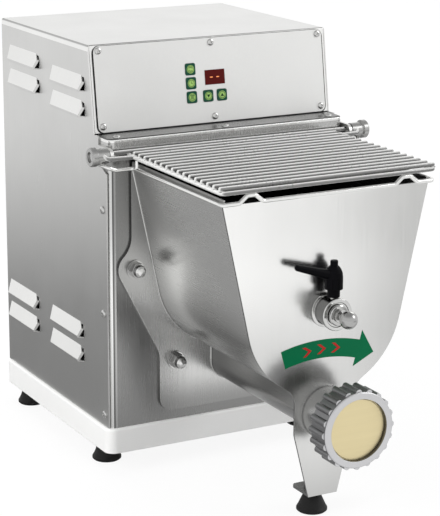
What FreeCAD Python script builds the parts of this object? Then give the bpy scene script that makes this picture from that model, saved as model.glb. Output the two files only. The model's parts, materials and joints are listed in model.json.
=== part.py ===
import FreeCAD, Part
import math
import os
from FreeCAD import Vector as V

# Electric pasta maker. A geared motor in the housing turns a mixer in the tank and an auger in the barrel.
# Modelling frame: X to the right, Y towards the back, Z up, front wall of the housing at Y = 0, floor at Z = 0.
# Every piece is moved by "to_origin" when it is saved, so that the origin is under the middle of the machine.

os.makedirs("parts", exist_ok=True)

# Housing
body_width = 260.0
body_depth = 252.0
body_height = 416.0
sheet = 1.5
bend = 2.5
plinth_bottom = 23.0
plinth_top = 48.0
plinth_overhang = 3.0
plinth_wall = 3.0
front_corner_radius = 7.0
hood_setback = 2.2
hood_front_bend = 1.5
seam = 0.6
ledge_height = 333.0
ledge_depth = 26.0
notch_depth = 19.0
notch_bottom = 300.0
slope_foot_y = 28.7
slope_head_y = 41.0
back_plate_gauge = 1.2

# Control plate, measured up the slope from its foot
plate_gauge = 1.2
plate_half_width = 125.0
plate_length = 81.5
plate_corner = 6.0
plate_screw_places = [(x, up) for x in (-120.0, 0.0, 120.0) for up in (6.5, 78.0)]
key_size = (10.6, 11.0)
key_proud = 0.7
key_travel = 0.8
key_places = {
    "key_mix": (-24.0, 53.5),
    "key_timer": (-24.0, 40.0),
    "key_extrude": (-24.0, 26.5),
    "key_down": (-6.2, 26.5),
    "key_up": (8.8, 26.5),
}
display_size = (21.6, 14.2)
display_place = (2.2, 44.3)

# Tank, mixer and extruder
tank_length = 181.0
tank_rim_z = 305.0
tank_half_width = 105.5
trough_radius = 80.0
mixer_z = 199.0
tank_sheet = 1.5
tank_front_gauge = 2.0
tank_flange_gauge = 3.0
auger_z = 103.0
barrel_radius = 20.5
barrel_bore = 17.8
neck_radius = 24.0
auger_radius = 17.4
auger_core = 8.0
auger_pitch = 34.0
nut_front_y = -240.0
nut_back_y = -215.5
nut_lip = 4.4
nut_rib_count = 20
nut_rib_radius = 37.5
nut_opening = 28.9
thread_radius = 32.2
thread_clearance = 0.3
die_radius = 29.7
die_face_radius = 27.7
die_recess = 3.5
die_length = 15.5
leg_half_top = 31.0
leg_half_foot = 15.2
leg_foot_z = 21.5
leg_foot_y = -162.5

# Guard
wire = 2.0
weld_sink = 0.4
guard_axis_y = -6.0
guard_axis_z = 319.5
frame_z = 317.5
grid_z = frame_z + 2 * wire - weld_sink
rim_z = 307.0
grid_count = 16
grid_pitch = 11.1
grid_half = 116.5
frame_half = 109.5
frame_front_y = -186.0
frame_back_y = -4.0
cross_y = -15.0
boss_hub = 7.0

# Drive, with the gear axes at fixed distances
module_out = 2.0
module_in = 1.5
teeth_mixer = 60
teeth_auger = 36
teeth_lay_pinion = 16
teeth_lay_gear = 56
teeth_motor = 14
lay_z = mixer_z + module_out * (teeth_mixer + teeth_lay_pinion) / 2
motor_angle = 150.0
motor_reach = module_in * (teeth_lay_gear + teeth_motor) / 2
motor_x = motor_reach * math.cos(math.radians(motor_angle))
motor_z = lay_z + motor_reach * math.sin(math.radians(motor_angle))
case_front = sheet
case_wall = 5.0
case_back = 46.0
case_side = 4.0
cover_back = case_back + case_wall
out_gears = (10.0, 24.0)
in_gears = (30.0, 40.0)
fit = 0.05
gap = 0.3

# Feet
foot_x = 112.0
foot_ys = (46.0, 236.0)

gland_length = 13.0
back_face = body_depth + back_plate_gauge
to_origin = V(0, -(nut_front_y + back_face + gland_length) / 2, 0)
half = body_width / 2
tank_front = -tank_length
slope = math.hypot(slope_head_y - slope_foot_y, body_height - ledge_height)
slope_up = V(0, slope_head_y - slope_foot_y, body_height - ledge_height) * (1 / slope)
slope_out = V(0, -slope_up.z, slope_up.y)


def box(x, y, z):
    """A block between the low and high ends of each axis."""
    return Part.makeBox(x[1] - x[0], y[1] - y[0], z[1] - z[0], V(x[0], y[0], z[0]))


def rod(radius, start, end):
    """A round bar between two points."""
    along = end - start
    return Part.makeCylinder(radius, along.Length, start, along)


def tube(outer, inner, start, end):
    """A round pipe between two points."""
    along = (end - start).normalize()
    return rod(outer, start, end).cut(rod(inner, start - along, end + along))


def along_y(radius, x, z, y0, y1):
    """A round bar parallel to Y."""
    return rod(radius, V(x, y0, z), V(x, y1, z))


def along_x(radius, y, z, x0, x1):
    """A round bar parallel to X."""
    return rod(radius, V(x0, y, z), V(x1, y, z))


def along_z(radius, x, y, z0, z1):
    """A round bar parallel to Z."""
    return rod(radius, V(x, y, z0), V(x, y, z1))


def prism(points, direction):
    """A flat outline of straight sides, extruded."""
    return Part.Face(Part.makePolygon(points + [points[0]])).extrude(direction)


def turned(profile, centre, axis):
    """A turned solid. The profile lists (radius, distance along the axis) pairs."""
    points = [V(r, 0, h) for r, h in profile]
    solid = Part.Face(Part.makePolygon(points + [points[0]])).revolve(V(0, 0, 0), V(0, 0, 1), 360)
    solid.Placement = FreeCAD.Placement(centre, FreeCAD.Rotation(V(0, 0, 1), axis))
    return solid


def fuse(shapes):
    """One solid from several that touch or overlap."""
    joined = shapes[0].multiFuse(shapes[1:]) if len(shapes) > 1 else shapes[0]
    return joined.removeSplitter()


def cut(shape, tools):
    """The shape with each tool taken away."""
    for tool in tools:
        shape = shape.cut(tool)
    return shape


def mirrored(shape):
    """The same piece on the other side of the machine."""
    return shape.mirror(V(0, 0, 0), V(1, 0, 0))


def straight_edges(shape, direction, test):
    """Straight edges parallel to a direction whose middle passes the test."""
    found = []
    for edge in shape.Edges:
        if not isinstance(edge.Curve, Part.Line):
            continue
        ends = [vertex.Point for vertex in edge.Vertexes]
        if (ends[1] - ends[0]).normalize().cross(direction).Length < 0.01 and test((ends[0] + ends[1]) * 0.5):
            found.append(edge)
    return found


def rounded(shape, radius, direction, test=lambda middle: True):
    """The shape with some of its straight edges rounded."""
    return shape.makeFillet(radius, straight_edges(shape, direction, test))


def bent_rod(points, radius, bend_radius):
    """A wire bent through the given points: straight runs joined by round bends."""
    pieces = []
    last = points[0]
    for before, corner, after in zip(points, points[1:], points[2:]):
        back = (before - corner).normalize()
        ahead = (after - corner).normalize()
        half_angle = math.acos(back.dot(ahead)) / 2
        reach = bend_radius / math.tan(half_angle)
        start = corner + back * reach
        centre = corner + (back + ahead).normalize() * (bend_radius / math.sin(half_angle))
        section = Part.Face(Part.Wire([Part.Circle(start, back, radius).toShape()]))
        bend = section.revolve(centre, ahead.cross(back), 180 - math.degrees(2 * half_angle))
        pieces += [rod(radius, last, start), bend]
        last = corner + ahead * reach
    pieces.append(rod(radius, last, points[-1]))
    return fuse(pieces)


def save(name, *shapes):
    """Writes one node, at the machine's own origin."""
    shape = shapes[0] if len(shapes) == 1 else Part.makeCompound(list(shapes))
    shape = shape.copy()
    shape.translate(to_origin)
    shape.exportStep(f"parts/{name}.step")


def on_slope(x, up, out=0.0):
    """A point of the control plate's plane: across, up the slope, and out of it."""
    return V(x, slope_foot_y, ledge_height) + slope_up * up + slope_out * out


def slope_block(x, up, out):
    """A block lying in the control plate's plane."""
    corners = [on_slope(x[0], up[0], out[0]), on_slope(x[1], up[0], out[0]),
               on_slope(x[1], up[1], out[0]), on_slope(x[0], up[1], out[0])]
    return prism(corners, slope_out * (out[1] - out[0]))


def slope_bar(radius, x, up, out):
    """A round bar standing on the control plate's plane."""
    return rod(radius, on_slope(x, up, out[0]), on_slope(x, up, out[1]))


# Plinth and feet
def plinth():
    side = half + plinth_overhang
    back = body_depth + plinth_overhang
    outer = box((-side, side), (-plinth_overhang, back), (plinth_bottom, plinth_top))
    outer = rounded(outer, 10, V(0, 0, 1))
    top = [edge for edge in outer.Edges if min(v.Z for v in edge.Vertexes) > plinth_top - 0.1]
    outer = outer.makeFillet(2.5, top)
    inner = box((-side + plinth_wall, side - plinth_wall), (-plinth_overhang + plinth_wall, back - plinth_wall),
                (plinth_bottom - 1, plinth_top - plinth_wall))
    tray = outer.cut(rounded(inner, 7, V(0, 0, 1)))
    posts = [along_z(11, x, y, plinth_bottom, plinth_top - 1) for x in (-foot_x, foot_x) for y in foot_ys]
    tray = fuse([tray] + posts)
    holes = [along_z(4.1, x, y, plinth_bottom - 1, plinth_top - plinth_wall)
             for x in (-foot_x, foot_x) for y in foot_ys]
    slot_gap = 20
    slots = [box((x, x + 6), (90, 160), (plinth_top - 10, plinth_top + 1))
             for x in range(-50, 51, slot_gap)]
    return cut(tray, holes + slots)


def foot_shape(x, y, top):
    """A flared rubber cone with a blind hole for its stud."""
    profile = [(0, 0), (13.2, 0), (14.5, 1.2), (14.5, 3), (13, 5.5), (11, 10), (9.6, top - 2.5),
               (8.4, top), (4.1, top), (4.1, 7), (0, 7)]
    return turned(profile, V(x, y, 0), V(0, 0, 1))


def feet():
    return [foot_shape(x, y, plinth_bottom - 3) for x in (-foot_x, foot_x) for y in foot_ys]


def foot_studs():
    studs = []
    for x in (-foot_x, foot_x):
        for y in foot_ys:
            shank = along_z(4, x, y, 8, plinth_top - plinth_wall - 1)
            collar = along_z(7.5, x, y, plinth_bottom - 3, plinth_bottom)
            studs.append(fuse([shank, collar]))
    return studs


# Hood
louvre_length = 75.0
louvre_height = 15.0
louvre_depth = 5.5
louvre_places = [(193.0, 384.0), (193.0, 359.5), (85.5, 378.5), (85.5, 354.0),
                 (205.0, 132.0), (205.0, 107.5), (95.0, 132.0), (95.0, 107.5)]


def louvre_form(length, height, depth, lip):
    """A wedge on a vertical sheet: wide at the sheet, narrow at its lower lip, slanted at its front end."""
    wedge = Part.makeWedge(-length / 2, 0, -height / 2, -height / 2, -length / 2 + depth * 0.8,
                           length / 2, depth, height / 2, -height / 2 + lip, length / 2 - depth * 0.8)
    top = height / 2 + 1
    corner = prism([V(-length / 2 - 1, -1, top), V(-length / 2 - 1, -1, 0), V(-length / 2 + 9, -1, top)],
                   V(0, depth + 2, 0))
    return wedge.cut(corner)


def louvre_mouth():
    """The three-cornered opening in a louvre's front end."""
    low = -louvre_height / 2 + 0.9
    front = -louvre_length / 2 - 1
    return prism([V(front, -0.5, low), V(front, louvre_depth - 1.6, low), V(front, -0.5, low + 9)], V(20, 0, 0))


def louvre(side, y, z, inner):
    """One pressed louvre of the hood, or the hollow inside it."""
    if inner:
        form = louvre_form(louvre_length - 2.4, louvre_height - 1.6, louvre_depth - 1.0, 1.2)
        form = fuse([form, box((-louvre_length / 2 + 1.2, louvre_length / 2 - 1.2), (-sheet - 1, 0.01),
                               (-louvre_height / 2 + 0.8, louvre_height / 2 - 0.8))])
        form.translate(V(0, 0, -0.9))
        form = fuse([form, louvre_mouth()])
    else:
        form = louvre_form(louvre_length, louvre_height, louvre_depth, 1.8)
    form.rotate(V(0, 0, 0), V(0, 0, 1), 90)
    if side > 0:
        form = form.mirror(V(0, 0, 0), V(1, 0, 0))
    form.translate(V(side * half, y, z))
    return form


def hood_outline():
    """The side view of the hood, from its foot up the notched front and over the top."""
    return [V(0, hood_setback, plinth_top), V(0, hood_setback, notch_bottom), V(0, 11, notch_bottom + 4),
            V(0, notch_depth, notch_bottom + 12), V(0, notch_depth, ledge_height),
            V(0, slope_foot_y, ledge_height), V(0, slope_head_y, body_height),
            V(0, body_depth, body_height), V(0, body_depth, plinth_top)]


def hood():
    outline = [point + V(-half, 0, 0) for point in hood_outline()]
    outer = prism(outline, V(body_width, 0, 0))
    outer = rounded(outer, bend, V(0, 1, 0), lambda middle: middle.z > body_height - 1)
    outer = rounded(outer, hood_front_bend, V(1, 0, 0),
                    lambda middle: middle.z > body_height - 1 and middle.y < body_depth / 2)
    hollow = box((-half + sheet, half - sheet), (-10, body_depth + 10), (0, body_height - sheet))
    shell = outer.cut(hollow)
    width = (-half + 0.2, half - 0.2)
    front_frame = slope_block(width, (0.5, slope - 1.4), (-sheet, 0))
    front_frame = front_frame.cut(slope_block((-112, 112), (14, slope - 9), (-5, 5)))
    back_frame = box(width, (body_depth - sheet, body_depth), (plinth_top, body_height - 0.2))
    window = box((-112, 112), (body_depth - 5, body_depth + 5), (plinth_top - 1, body_height - 18))
    back_frame = back_frame.cut(window)
    shell = fuse([shell, front_frame, back_frame])
    sides = (-1, 1)
    shell = fuse([shell] + [louvre(s, y, z, False) for s in sides for y, z in louvre_places])
    shell = cut(shell, [louvre(s, y, z, True) for s in sides for y, z in louvre_places])
    holes = [along_x(2.2, y, z, -half - 1, half + 1) for y, z in side_screw_places]
    holes += [slope_bar(2.0, x, up, (-5, 5)) for x, up in plate_screw_places]
    holes += [along_y(2.0, x, z, body_depth - 5, body_depth + 5) for x, z in back_screw_places]
    seams = [slope_block((x, x + seam), (-1, slope + 1), (-seam, 1))
             for x in (-half + sheet - seam / 2, half - sheet - seam / 2)]
    return cut(shell, holes + seams)


side_screw_places = [(10.5, 264.0), (10.5, 162.0), (10.5, 60.0)]
back_screw_places = [(x, z) for x in (-119.0, 119.0) for z in (64.0, 232.0, 400.0)]
ledge_screw_xs = (-116.0, 0.0, 116.0)
ledge_screw_y = 8.0
stud_places = [(-103.0, 206.0), (103.0, 206.0), (-59.5, 109.0), (59.5, 109.0)]
ear_radius = 17.5
gland_place = (-84.0, 92.0)


def back_panel():
    panel = box((-half + 3, half - 3), (body_depth, back_face), (plinth_top + 2, body_height - 3))
    panel = rounded(panel, 4, V(0, 1, 0))
    holes = [along_y(2.2, x, z, body_depth - 1, back_face + 1) for x, z in back_screw_places]
    holes.append(along_y(8.2, gland_place[0], gland_place[1], body_depth - 1, back_face + 1))
    return cut(panel, holes)


# Front panel: a shell with rounded upright corners and a ledge bent back under the control plate
def front_panel():
    side = half - sheet
    outer = box((-side, side), (0, ledge_depth), (plinth_top, ledge_height))
    outer = rounded(outer, front_corner_radius, V(0, 0, 1), lambda middle: middle.y < 1)
    front_top = [edge for edge in outer.Edges
                 if min(v.Z for v in edge.Vertexes) > ledge_height - 0.1
                 and edge.BoundBox.YMax < ledge_depth - 1]
    outer = outer.makeFillet(1.8, front_top)
    inner = box((-side + sheet, side - sheet), (sheet, ledge_depth + 1), (plinth_top - 1, ledge_height - sheet))
    inner = rounded(inner, front_corner_radius - sheet, V(0, 0, 1), lambda middle: middle.y < sheet + 0.1)
    panel = outer.cut(inner)
    behind = box((-half, half), (notch_depth + 1, ledge_depth + 1), (plinth_top - 1, ledge_height - sheet))
    panel = panel.cut(behind)
    holes = [along_y(10.4, 0, mixer_z, -1, 3), along_y(8.4, 0, auger_z, -1, 3)]
    holes += [along_y(4.2, x, z, -1, 3) for x, z in stud_places]
    holes += [along_z(2.2, x, ledge_screw_y, ledge_height - 5, ledge_height + 1) for x in ledge_screw_xs]
    holes += [along_x(2.2, y, z, -half, half) for y, z in side_screw_places]
    holes += [along_x(3.2, 10, guard_axis_z, -half, half)]
    return cut(panel, holes)


# Screws
def pan_screw(seat, outward, shank_length, head_radius=3.9, head_height=2.2, shank=1.9):
    """A round-head screw whose head rests on the seat."""
    profile = [(0, -shank_length), (shank, -shank_length), (shank, 0), (head_radius, 0),
               (head_radius, head_height * 0.45), (head_radius * 0.72, head_height * 0.9), (0, head_height)]
    return turned(profile, seat, outward)


def side_screws():
    screws = []
    for y, z in side_screw_places:
        screws.append(pan_screw(V(-half, y, z), V(-1, 0, 0), 5))
        screws.append(pan_screw(V(half, y, z), V(1, 0, 0), 5))
    return screws


def plate_screws():
    return [pan_screw(on_slope(x, up, plate_gauge), slope_out, 5, 3.4, 1.7, 1.7)
            for x, up in plate_screw_places]


def ledge_screws():
    return [pan_screw(V(x, ledge_screw_y, ledge_height), V(0, 0, 1), 6, 3.6, 2.0) for x in ledge_screw_xs]


def back_screws():
    return [pan_screw(V(x, back_face, z), V(0, 1, 0), 5, 3.6, 2.0, 1.8) for x, z in back_screw_places]


def cable_gland():
    """A gland with its hexagonal nut outside and its lock nut inside the back panel."""
    x, z = gland_place
    hexagon = [V(x + 11 * math.cos(math.radians(a)), back_face, z + 11 * math.sin(math.radians(a)))
               for a in range(0, 360, 60)]
    flange = prism(hexagon, V(0, 5, 0))
    dome = turned([(4.2, 0), (9, 0), (9, 4), (6, gland_length - 5), (4.2, gland_length - 5)],
                  V(x, back_face + 5, z), V(0, 1, 0))
    thread = along_y(8, x, z, body_depth - 12, back_face)
    lock = along_y(11, x, z, body_depth - 5, body_depth)
    body = fuse([flange, thread, lock])
    body = body.cut(along_y(4.2, x, z, body_depth - 20, back_face + 20))
    return fuse([body, dome])


# Control plate and what it carries
def control_plate():
    plate = slope_block((-plate_half_width, plate_half_width), (0.8, 0.8 + plate_length), (0, plate_gauge))
    plate = rounded(plate, plate_corner, slope_out)
    holes = [slope_bar(1.9, x, up, (-1, 3)) for x, up in plate_screw_places]
    for x, up in key_places.values():
        holes.append(key_block(x, up, gap, (-1, 3)))
    x, up = display_place
    wide, tall = display_size
    holes.append(slope_block((x - wide / 2, x + wide / 2), (up - tall / 2, up + tall / 2), (-1, 3)))
    return cut(plate, holes)


def key_block(x, up, grow, out):
    wide = key_size[0] / 2 + grow
    tall = key_size[1] / 2 + grow
    block = slope_block((x - wide, x + wide), (up - tall, up + tall), out)
    return rounded(block, 1.6 + grow, slope_out)


def key(x, up):
    """A push key: a cap through the plate with a retaining flange behind it."""
    cap = key_block(x, up, 0, (-2.2, plate_gauge + key_proud))
    flange = key_block(x, up, 1.0, (-2.4, -gap))
    return fuse([cap, flange])


def display_window():
    x, up = display_place
    wide, tall = display_size
    return slope_block((x - wide / 2, x + wide / 2), (up - tall / 2, up + tall / 2), (-1.2, plate_gauge + 0.3))


board_depth = 14.0


def display_module():
    x, up = display_place
    return slope_block((x - 10, x + 10), (up - 6, up + 6), (-board_depth, -1.2))


board_corners = [(x, up) for x in (-42.0, 32.0) for up in (18.0, 64.0)]


def control_board():
    board = slope_block((-47, 37), (15, 67), (-board_depth - 1.6, -board_depth))
    parts = [board]
    for x, up in key_places.values():
        parts.append(slope_block((x - 3, x + 3), (up - 3, up + 3), (-board_depth, -6.5)))
        parts.append(slope_bar(1.6, x, up, (-6.5, -2.4 - key_travel - 0.2)))
    board = fuse(parts)
    return cut(board, [slope_bar(1.6, x, up, (-board_depth - 3, -board_depth + 1)) for x, up in board_corners])


def board_standoffs():
    return [slope_bar(3.0, x, up, (-board_depth, 0)) for x, up in board_corners]


# Tank
def trough(y0, y1, radius, half_width, top):
    """A solid with the tank's section: sloping sides that run into a round bottom."""
    rise = top - mixer_z
    reach = math.hypot(half_width, rise)
    touch = math.atan2(rise, half_width) - math.acos(radius / reach)
    right = V(radius * math.cos(touch), y0, mixer_z + radius * math.sin(touch))
    left = V(-right.x, y0, right.z)
    bottom = V(0, y0, mixer_z - radius)
    corner_left = V(-half_width, y0, top)
    corner_right = V(half_width, y0, top)
    edges = [Part.LineSegment(corner_left, left).toShape(), Part.Arc(left, bottom, right).toShape(),
             Part.LineSegment(right, corner_right).toShape(),
             Part.LineSegment(corner_right, corner_left).toShape()]
    return Part.Face(Part.Wire(edges)).extrude(V(0, y1 - y0, 0))


def tank_shell():
    front = tank_front + tank_front_gauge
    back = -tank_flange_gauge
    outer = trough(front, back, trough_radius, tank_half_width, tank_rim_z)
    inner = trough(front - 1, back + 1, trough_radius - tank_sheet, tank_half_width - tank_sheet, tank_rim_z)
    above = box((-200, 200), (front - 2, back + 2), (tank_rim_z - 0.5, tank_rim_z + 5))
    shell = cut(outer, [inner, above])
    throat = box((-barrel_bore, barrel_bore), (front - 1, back - 4), (auger_z, mixer_z - 60))
    return shell.cut(throat)


def barrel_section(radius, y0, y1):
    """A round bottom with upright sides that reach the trough."""
    upright = box((-radius, radius), (y0, y1), (auger_z, mixer_z - 60))
    return fuse([along_y(radius, 0, auger_z, y0, y1), upright])


def extruder_barrel():
    front = tank_front + tank_front_gauge
    back = -tank_flange_gauge
    tube_body = barrel_section(barrel_radius, front, back)
    tube_body = tube_body.cut(along_y(trough_radius, 0, mixer_z, front - 1, back + 1))
    head_back = nut_back_y - 1
    head_front = nut_front_y + nut_lip + 3.1
    seat_bottom = nut_front_y + die_recess + die_length + 0.2
    head = [along_y(barrel_radius, 0, auger_z, tank_front, front),
            along_y(neck_radius + 1, 0, auger_z, tank_front - 1.6, tank_front),
            along_y(neck_radius, 0, auger_z, head_back, tank_front),
            along_y(thread_radius, 0, auger_z, head_front, head_back)]
    body = fuse([tube_body] + head)
    funnel = Part.makeCone(barrel_bore, die_radius - 4, 8, V(0, seat_bottom + 7.9, auger_z), V(0, -1, 0))
    seat = along_y(die_radius + 0.1, 0, auger_z, head_front - 1, seat_bottom)
    bore = along_y(barrel_bore, 0, auger_z, seat_bottom + 7, back - 4)
    shaft_hole = along_y(auger_core + fit, 0, auger_z, back - 10, back + 5)
    throat = box((-barrel_bore, barrel_bore), (front, back - 4), (auger_z, mixer_z - 60))
    return cut(body, [bore, shaft_hole, funnel, seat, throat])


def tank_front_plate():
    back = tank_front + tank_front_gauge
    plate = trough(tank_front, back, trough_radius + 0.6, tank_half_width + 0.6, tank_rim_z + 0.5)
    leg_points = [(-leg_half_top, mixer_z - 60), (-leg_half_top, 84), (-leg_half_foot, leg_foot_z),
                  (leg_half_foot, leg_foot_z), (leg_half_top, 84), (leg_half_top, mixer_z - 60)]
    leg = prism([V(x, tank_front, z) for x, z in leg_points], V(0, tank_front_gauge, 0))
    plate = fuse([plate, leg])
    plate = rounded(plate, 20, V(0, 1, 0), lambda middle: abs(middle.z - 125) < 6)
    plate = rounded(plate, 8, V(0, 1, 0), lambda middle: abs(middle.z - 84) < 2)
    shelf = box((-leg_half_foot, leg_half_foot), (tank_front, tank_front + 31), (leg_foot_z, leg_foot_z + 2.5))
    shelf = rounded(shelf, 5, V(0, 0, 1), lambda middle: middle.y > tank_front + 10)
    plate = fuse([plate, shelf])
    holes = [along_y(barrel_radius + fit, 0, auger_z, tank_front - 1, back + 1),
             along_y(8.0, 0, mixer_z, tank_front - 1, back + 1),
             along_z(4.2, 0, leg_foot_y, leg_foot_z - 1, leg_foot_z + 5)]
    return cut(plate, holes)


def tank_back_plate():
    """The flange that carries the tank. Each straight side runs tangent into the ear of its upper stud."""
    ear_x, ear_z = stud_places[1]
    corner_x, corner_z = 77.0, 118.0
    reach = math.hypot(ear_x - corner_x, ear_z - corner_z)
    lean = math.atan2(ear_z - corner_z, ear_x - corner_x) - math.asin(ear_radius / reach)
    run = math.sqrt(reach * reach - ear_radius * ear_radius)
    touch = (corner_x + run * math.cos(lean), corner_z + run * math.sin(lean))
    right = [(tank_half_width + 1, tank_rim_z), (tank_half_width + 1, ear_z), touch,
             (corner_x, corner_z), (corner_x, 58)]
    outline = [(-x, z) for x, z in right] + list(reversed(right))
    plate = prism([V(x, -tank_flange_gauge, z) for x, z in outline], V(0, tank_flange_gauge, 0))
    plate = rounded(plate, 14, V(0, 1, 0), lambda middle: middle.z < 60)
    plate = rounded(plate, 25, V(0, 1, 0), lambda middle: abs(middle.z - corner_z) < 1)
    ears = [along_y(ear_radius, x, ear_z, -tank_flange_gauge, 0) for x in (-ear_x, ear_x)]
    plate = fuse([plate] + ears)
    plate = rounded(plate, 27, V(0, 1, 0), lambda middle: ear_z + 5 < middle.z < tank_rim_z - 5)
    holes = [along_y(4.2, x, z, -5, 1) for x, z in stud_places]
    holes += [along_y(10.4, 0, mixer_z, -5, 1), along_y(auger_core + 0.4, 0, auger_z, -5, 1)]
    return cut(plate, holes)


def tank_studs():
    studs = []
    for x, z in stud_places:
        head = along_y(7, x, z, sheet, sheet + 4)
        shank = along_y(4, x, z, -13, sheet)
        studs.append(fuse([head, shank]))
    return studs


def stud_washers():
    seat = -tank_flange_gauge
    return [tube(9.0, 4.2, V(x, seat - 1.6, z), V(x, seat, z)) for x, z in stud_places]


def cap_nuts():
    """Domed hexagonal nuts on the four studs."""
    nuts = []
    seat = -tank_flange_gauge - 1.6
    for x, z in stud_places:
        corners = [V(x + 7.5 * math.cos(math.radians(a)), seat, z + 7.5 * math.sin(math.radians(a)))
                   for a in range(0, 360, 60)]
        hexagon = prism(corners, V(0, -6.5, 0))
        dome_profile = [(0, 0), (6.2, 0), (6.2, 1.5), (5.4, 4.2), (3.6, 6.2), (0, 7.2)]
        dome = turned(dome_profile, V(x, seat - 6.5, z), V(0, -1, 0))
        nut = fuse([hexagon, dome])
        nuts.append(nut.cut(along_y(4.0 + fit, x, z, -13.2, seat + 1)))
    return nuts


# Front foot
front_foot_top = 15.5


def front_foot():
    return foot_shape(0, leg_foot_y, front_foot_top)


def front_foot_stud():
    stud = along_z(4, 0, leg_foot_y, 8, 34)
    disc = along_z(6.5, 0, leg_foot_y, front_foot_top, front_foot_top + 1.2)
    return fuse([stud, disc])


def front_foot_nut():
    top = leg_foot_z + 2.5
    corners = [V(7.5 * math.cos(math.radians(a)), leg_foot_y + 7.5 * math.sin(math.radians(a)), top)
               for a in range(30, 390, 60)]
    return prism(corners, V(0, 0, 6)).cut(along_z(4.0 + fit, 0, leg_foot_y, top - 1, top + 8))


# Guard
def guard_grid():
    """The wire lid: round cross wires welded on a bent frame, with an arm to each spool."""
    frame = [V(-frame_half, frame_back_y, frame_z), V(-frame_half, frame_front_y, frame_z),
             V(frame_half, frame_front_y, frame_z), V(frame_half, frame_back_y, frame_z)]
    parts = [bent_rod(frame, wire, 5.0)]
    arm = bent_rod([V(-141.5, guard_axis_y, guard_axis_z + 5), V(-136.5, cross_y, frame_z + 0.5),
                    V(-frame_half, cross_y, frame_z)], wire, 4.0)
    arm = arm.cut(along_x(boss_hub, guard_axis_y, guard_axis_z, -150, -130))
    parts += [arm, mirrored(arm)]
    parts.append(along_x(wire, guard_axis_y + 1, grid_z, -127, 127))
    for i in range(1, grid_count + 1):
        parts.append(along_x(wire, guard_axis_y + 1 - i * grid_pitch, grid_z, -grid_half, grid_half))
    return fuse(parts)


def guard_rim_frame():
    """The lower frame that runs round the tank's rim, humped where it meets the lid, with two welded links."""
    front = tank_front - 3.5
    top = frame_z - 2 * wire - 0.1
    hump = [(-92, rim_z), (-84, top), (-76, top), (-68, rim_z), (68, rim_z), (76, top), (84, top), (92, rim_z)]
    left = [V(-141.5, guard_axis_y, guard_axis_z - 7), V(-136.5, cross_y, rim_z + 3), V(-128, cross_y, rim_z),
            V(-frame_half, cross_y, rim_z), V(-frame_half, front, rim_z)]
    right = [V(-point.x, point.y, point.z) for point in reversed(left)]
    frame = bent_rod(left + [V(x, front, z) for x, z in hump] + right, wire, 4.0)
    frame = frame.cut(along_x(boss_hub, guard_axis_y, guard_axis_z, -150, 150))
    links = [along_z(wire, side * frame_half, cross_y - 7, rim_z, frame_z - wire) for side in (-1, 1)]
    return fuse([frame] + links)


def guard_boss():
    """A spool that turns on the hinge pin. The guard's wires end on it."""
    profile = [(4.06, 0), (boss_hub, 0), (boss_hub, 11.5), (9.0, 12.5), (9.0, 17.0), (8.2, 18.0),
               (5.2, 18.0), (5.2, 16.5), (4.06, 16.5)]
    return turned(profile, V(-132.6, guard_axis_y, guard_axis_z), V(-1, 0, 0))


def hinge_bracket():
    """An ear through the hood's notch that holds the hinge pin in front of the wall."""
    x0 = -half + sheet
    nose = 6.4
    outline = [V(x0, guard_axis_y, guard_axis_z + nose), V(x0, notch_depth - 1, guard_axis_z + nose),
               V(x0, notch_depth - 1, notch_bottom + 14), V(x0, 6, notch_bottom + 9),
               V(x0, guard_axis_y, guard_axis_z - nose)]
    ear = fuse([prism(outline, V(-3.4, 0, 0)), along_x(nose, guard_axis_y, guard_axis_z, x0 - 3.4, x0)])
    pin_hole = along_x(4.0, guard_axis_y, guard_axis_z, -half - 5, 0)
    screw_hole = along_x(2.6, 10, guard_axis_z, -half - 5, 0)
    return cut(ear, [pin_hole, screw_hole])


def hinge_pin():
    return along_x(4, guard_axis_y, guard_axis_z, -149, -half + sheet)


def bracket_screw():
    return pan_screw(V(-half + sheet - 3.4, 10, guard_axis_z), V(-1, 0, 0), 8, 4.0, 2.2, 2.4)


# Mixer, its front bearing and the clamp
def mixer_shaft():
    shaft = along_y(9, 0, mixer_z, tank_front + 6, -22)
    tang = box((-5.4, 5.4), (-22, -9), (mixer_z - 5.4, mixer_z + 5.4))
    return fuse([shaft, tang]).cut(along_y(5.0 + fit, 0, mixer_z, tank_front + 5, tank_front + 26))


def mixer_blade(y, angle):
    """A flat arm whose tip is turned to sweep the trough."""
    arm = prism([V(8.0, y - 5, 0), V(8.0, y + 5, 0), V(70, y + 7, 0), V(70, y - 7, 0)], V(0, 0, 5))
    arm.translate(V(0, 0, -2.5))
    tip = box((66, 74), (y - 16, y + 16), (-2.5, 2.5))
    tip.rotate(V(70, y, 0), V(1, 0, 0), 25)
    blade = fuse([arm, tip])
    blade.rotate(V(0, 0, 0), V(0, 1, 0), -angle)
    blade.translate(V(0, 0, mixer_z))
    return blade.cut(along_y(9, 0, mixer_z, -200, 0))


def mixer_blades():
    return [mixer_blade(y, angle) for y, angle in ((-42, 45), (-76, 225), (-110, 135), (-144, 315))]


def mixer_output_shaft():
    shaft = along_y(10, 0, mixer_z, -22, case_back + 4)
    socket = box((-5.5, 5.5), (-23, -8), (mixer_z - 5.5, mixer_z + 5.5))
    return shaft.cut(socket)


def mixer_seal():
    return tube(15, 10 + fit, V(0, -tank_flange_gauge - 5, mixer_z), V(0, -tank_flange_gauge, mixer_z))


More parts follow.
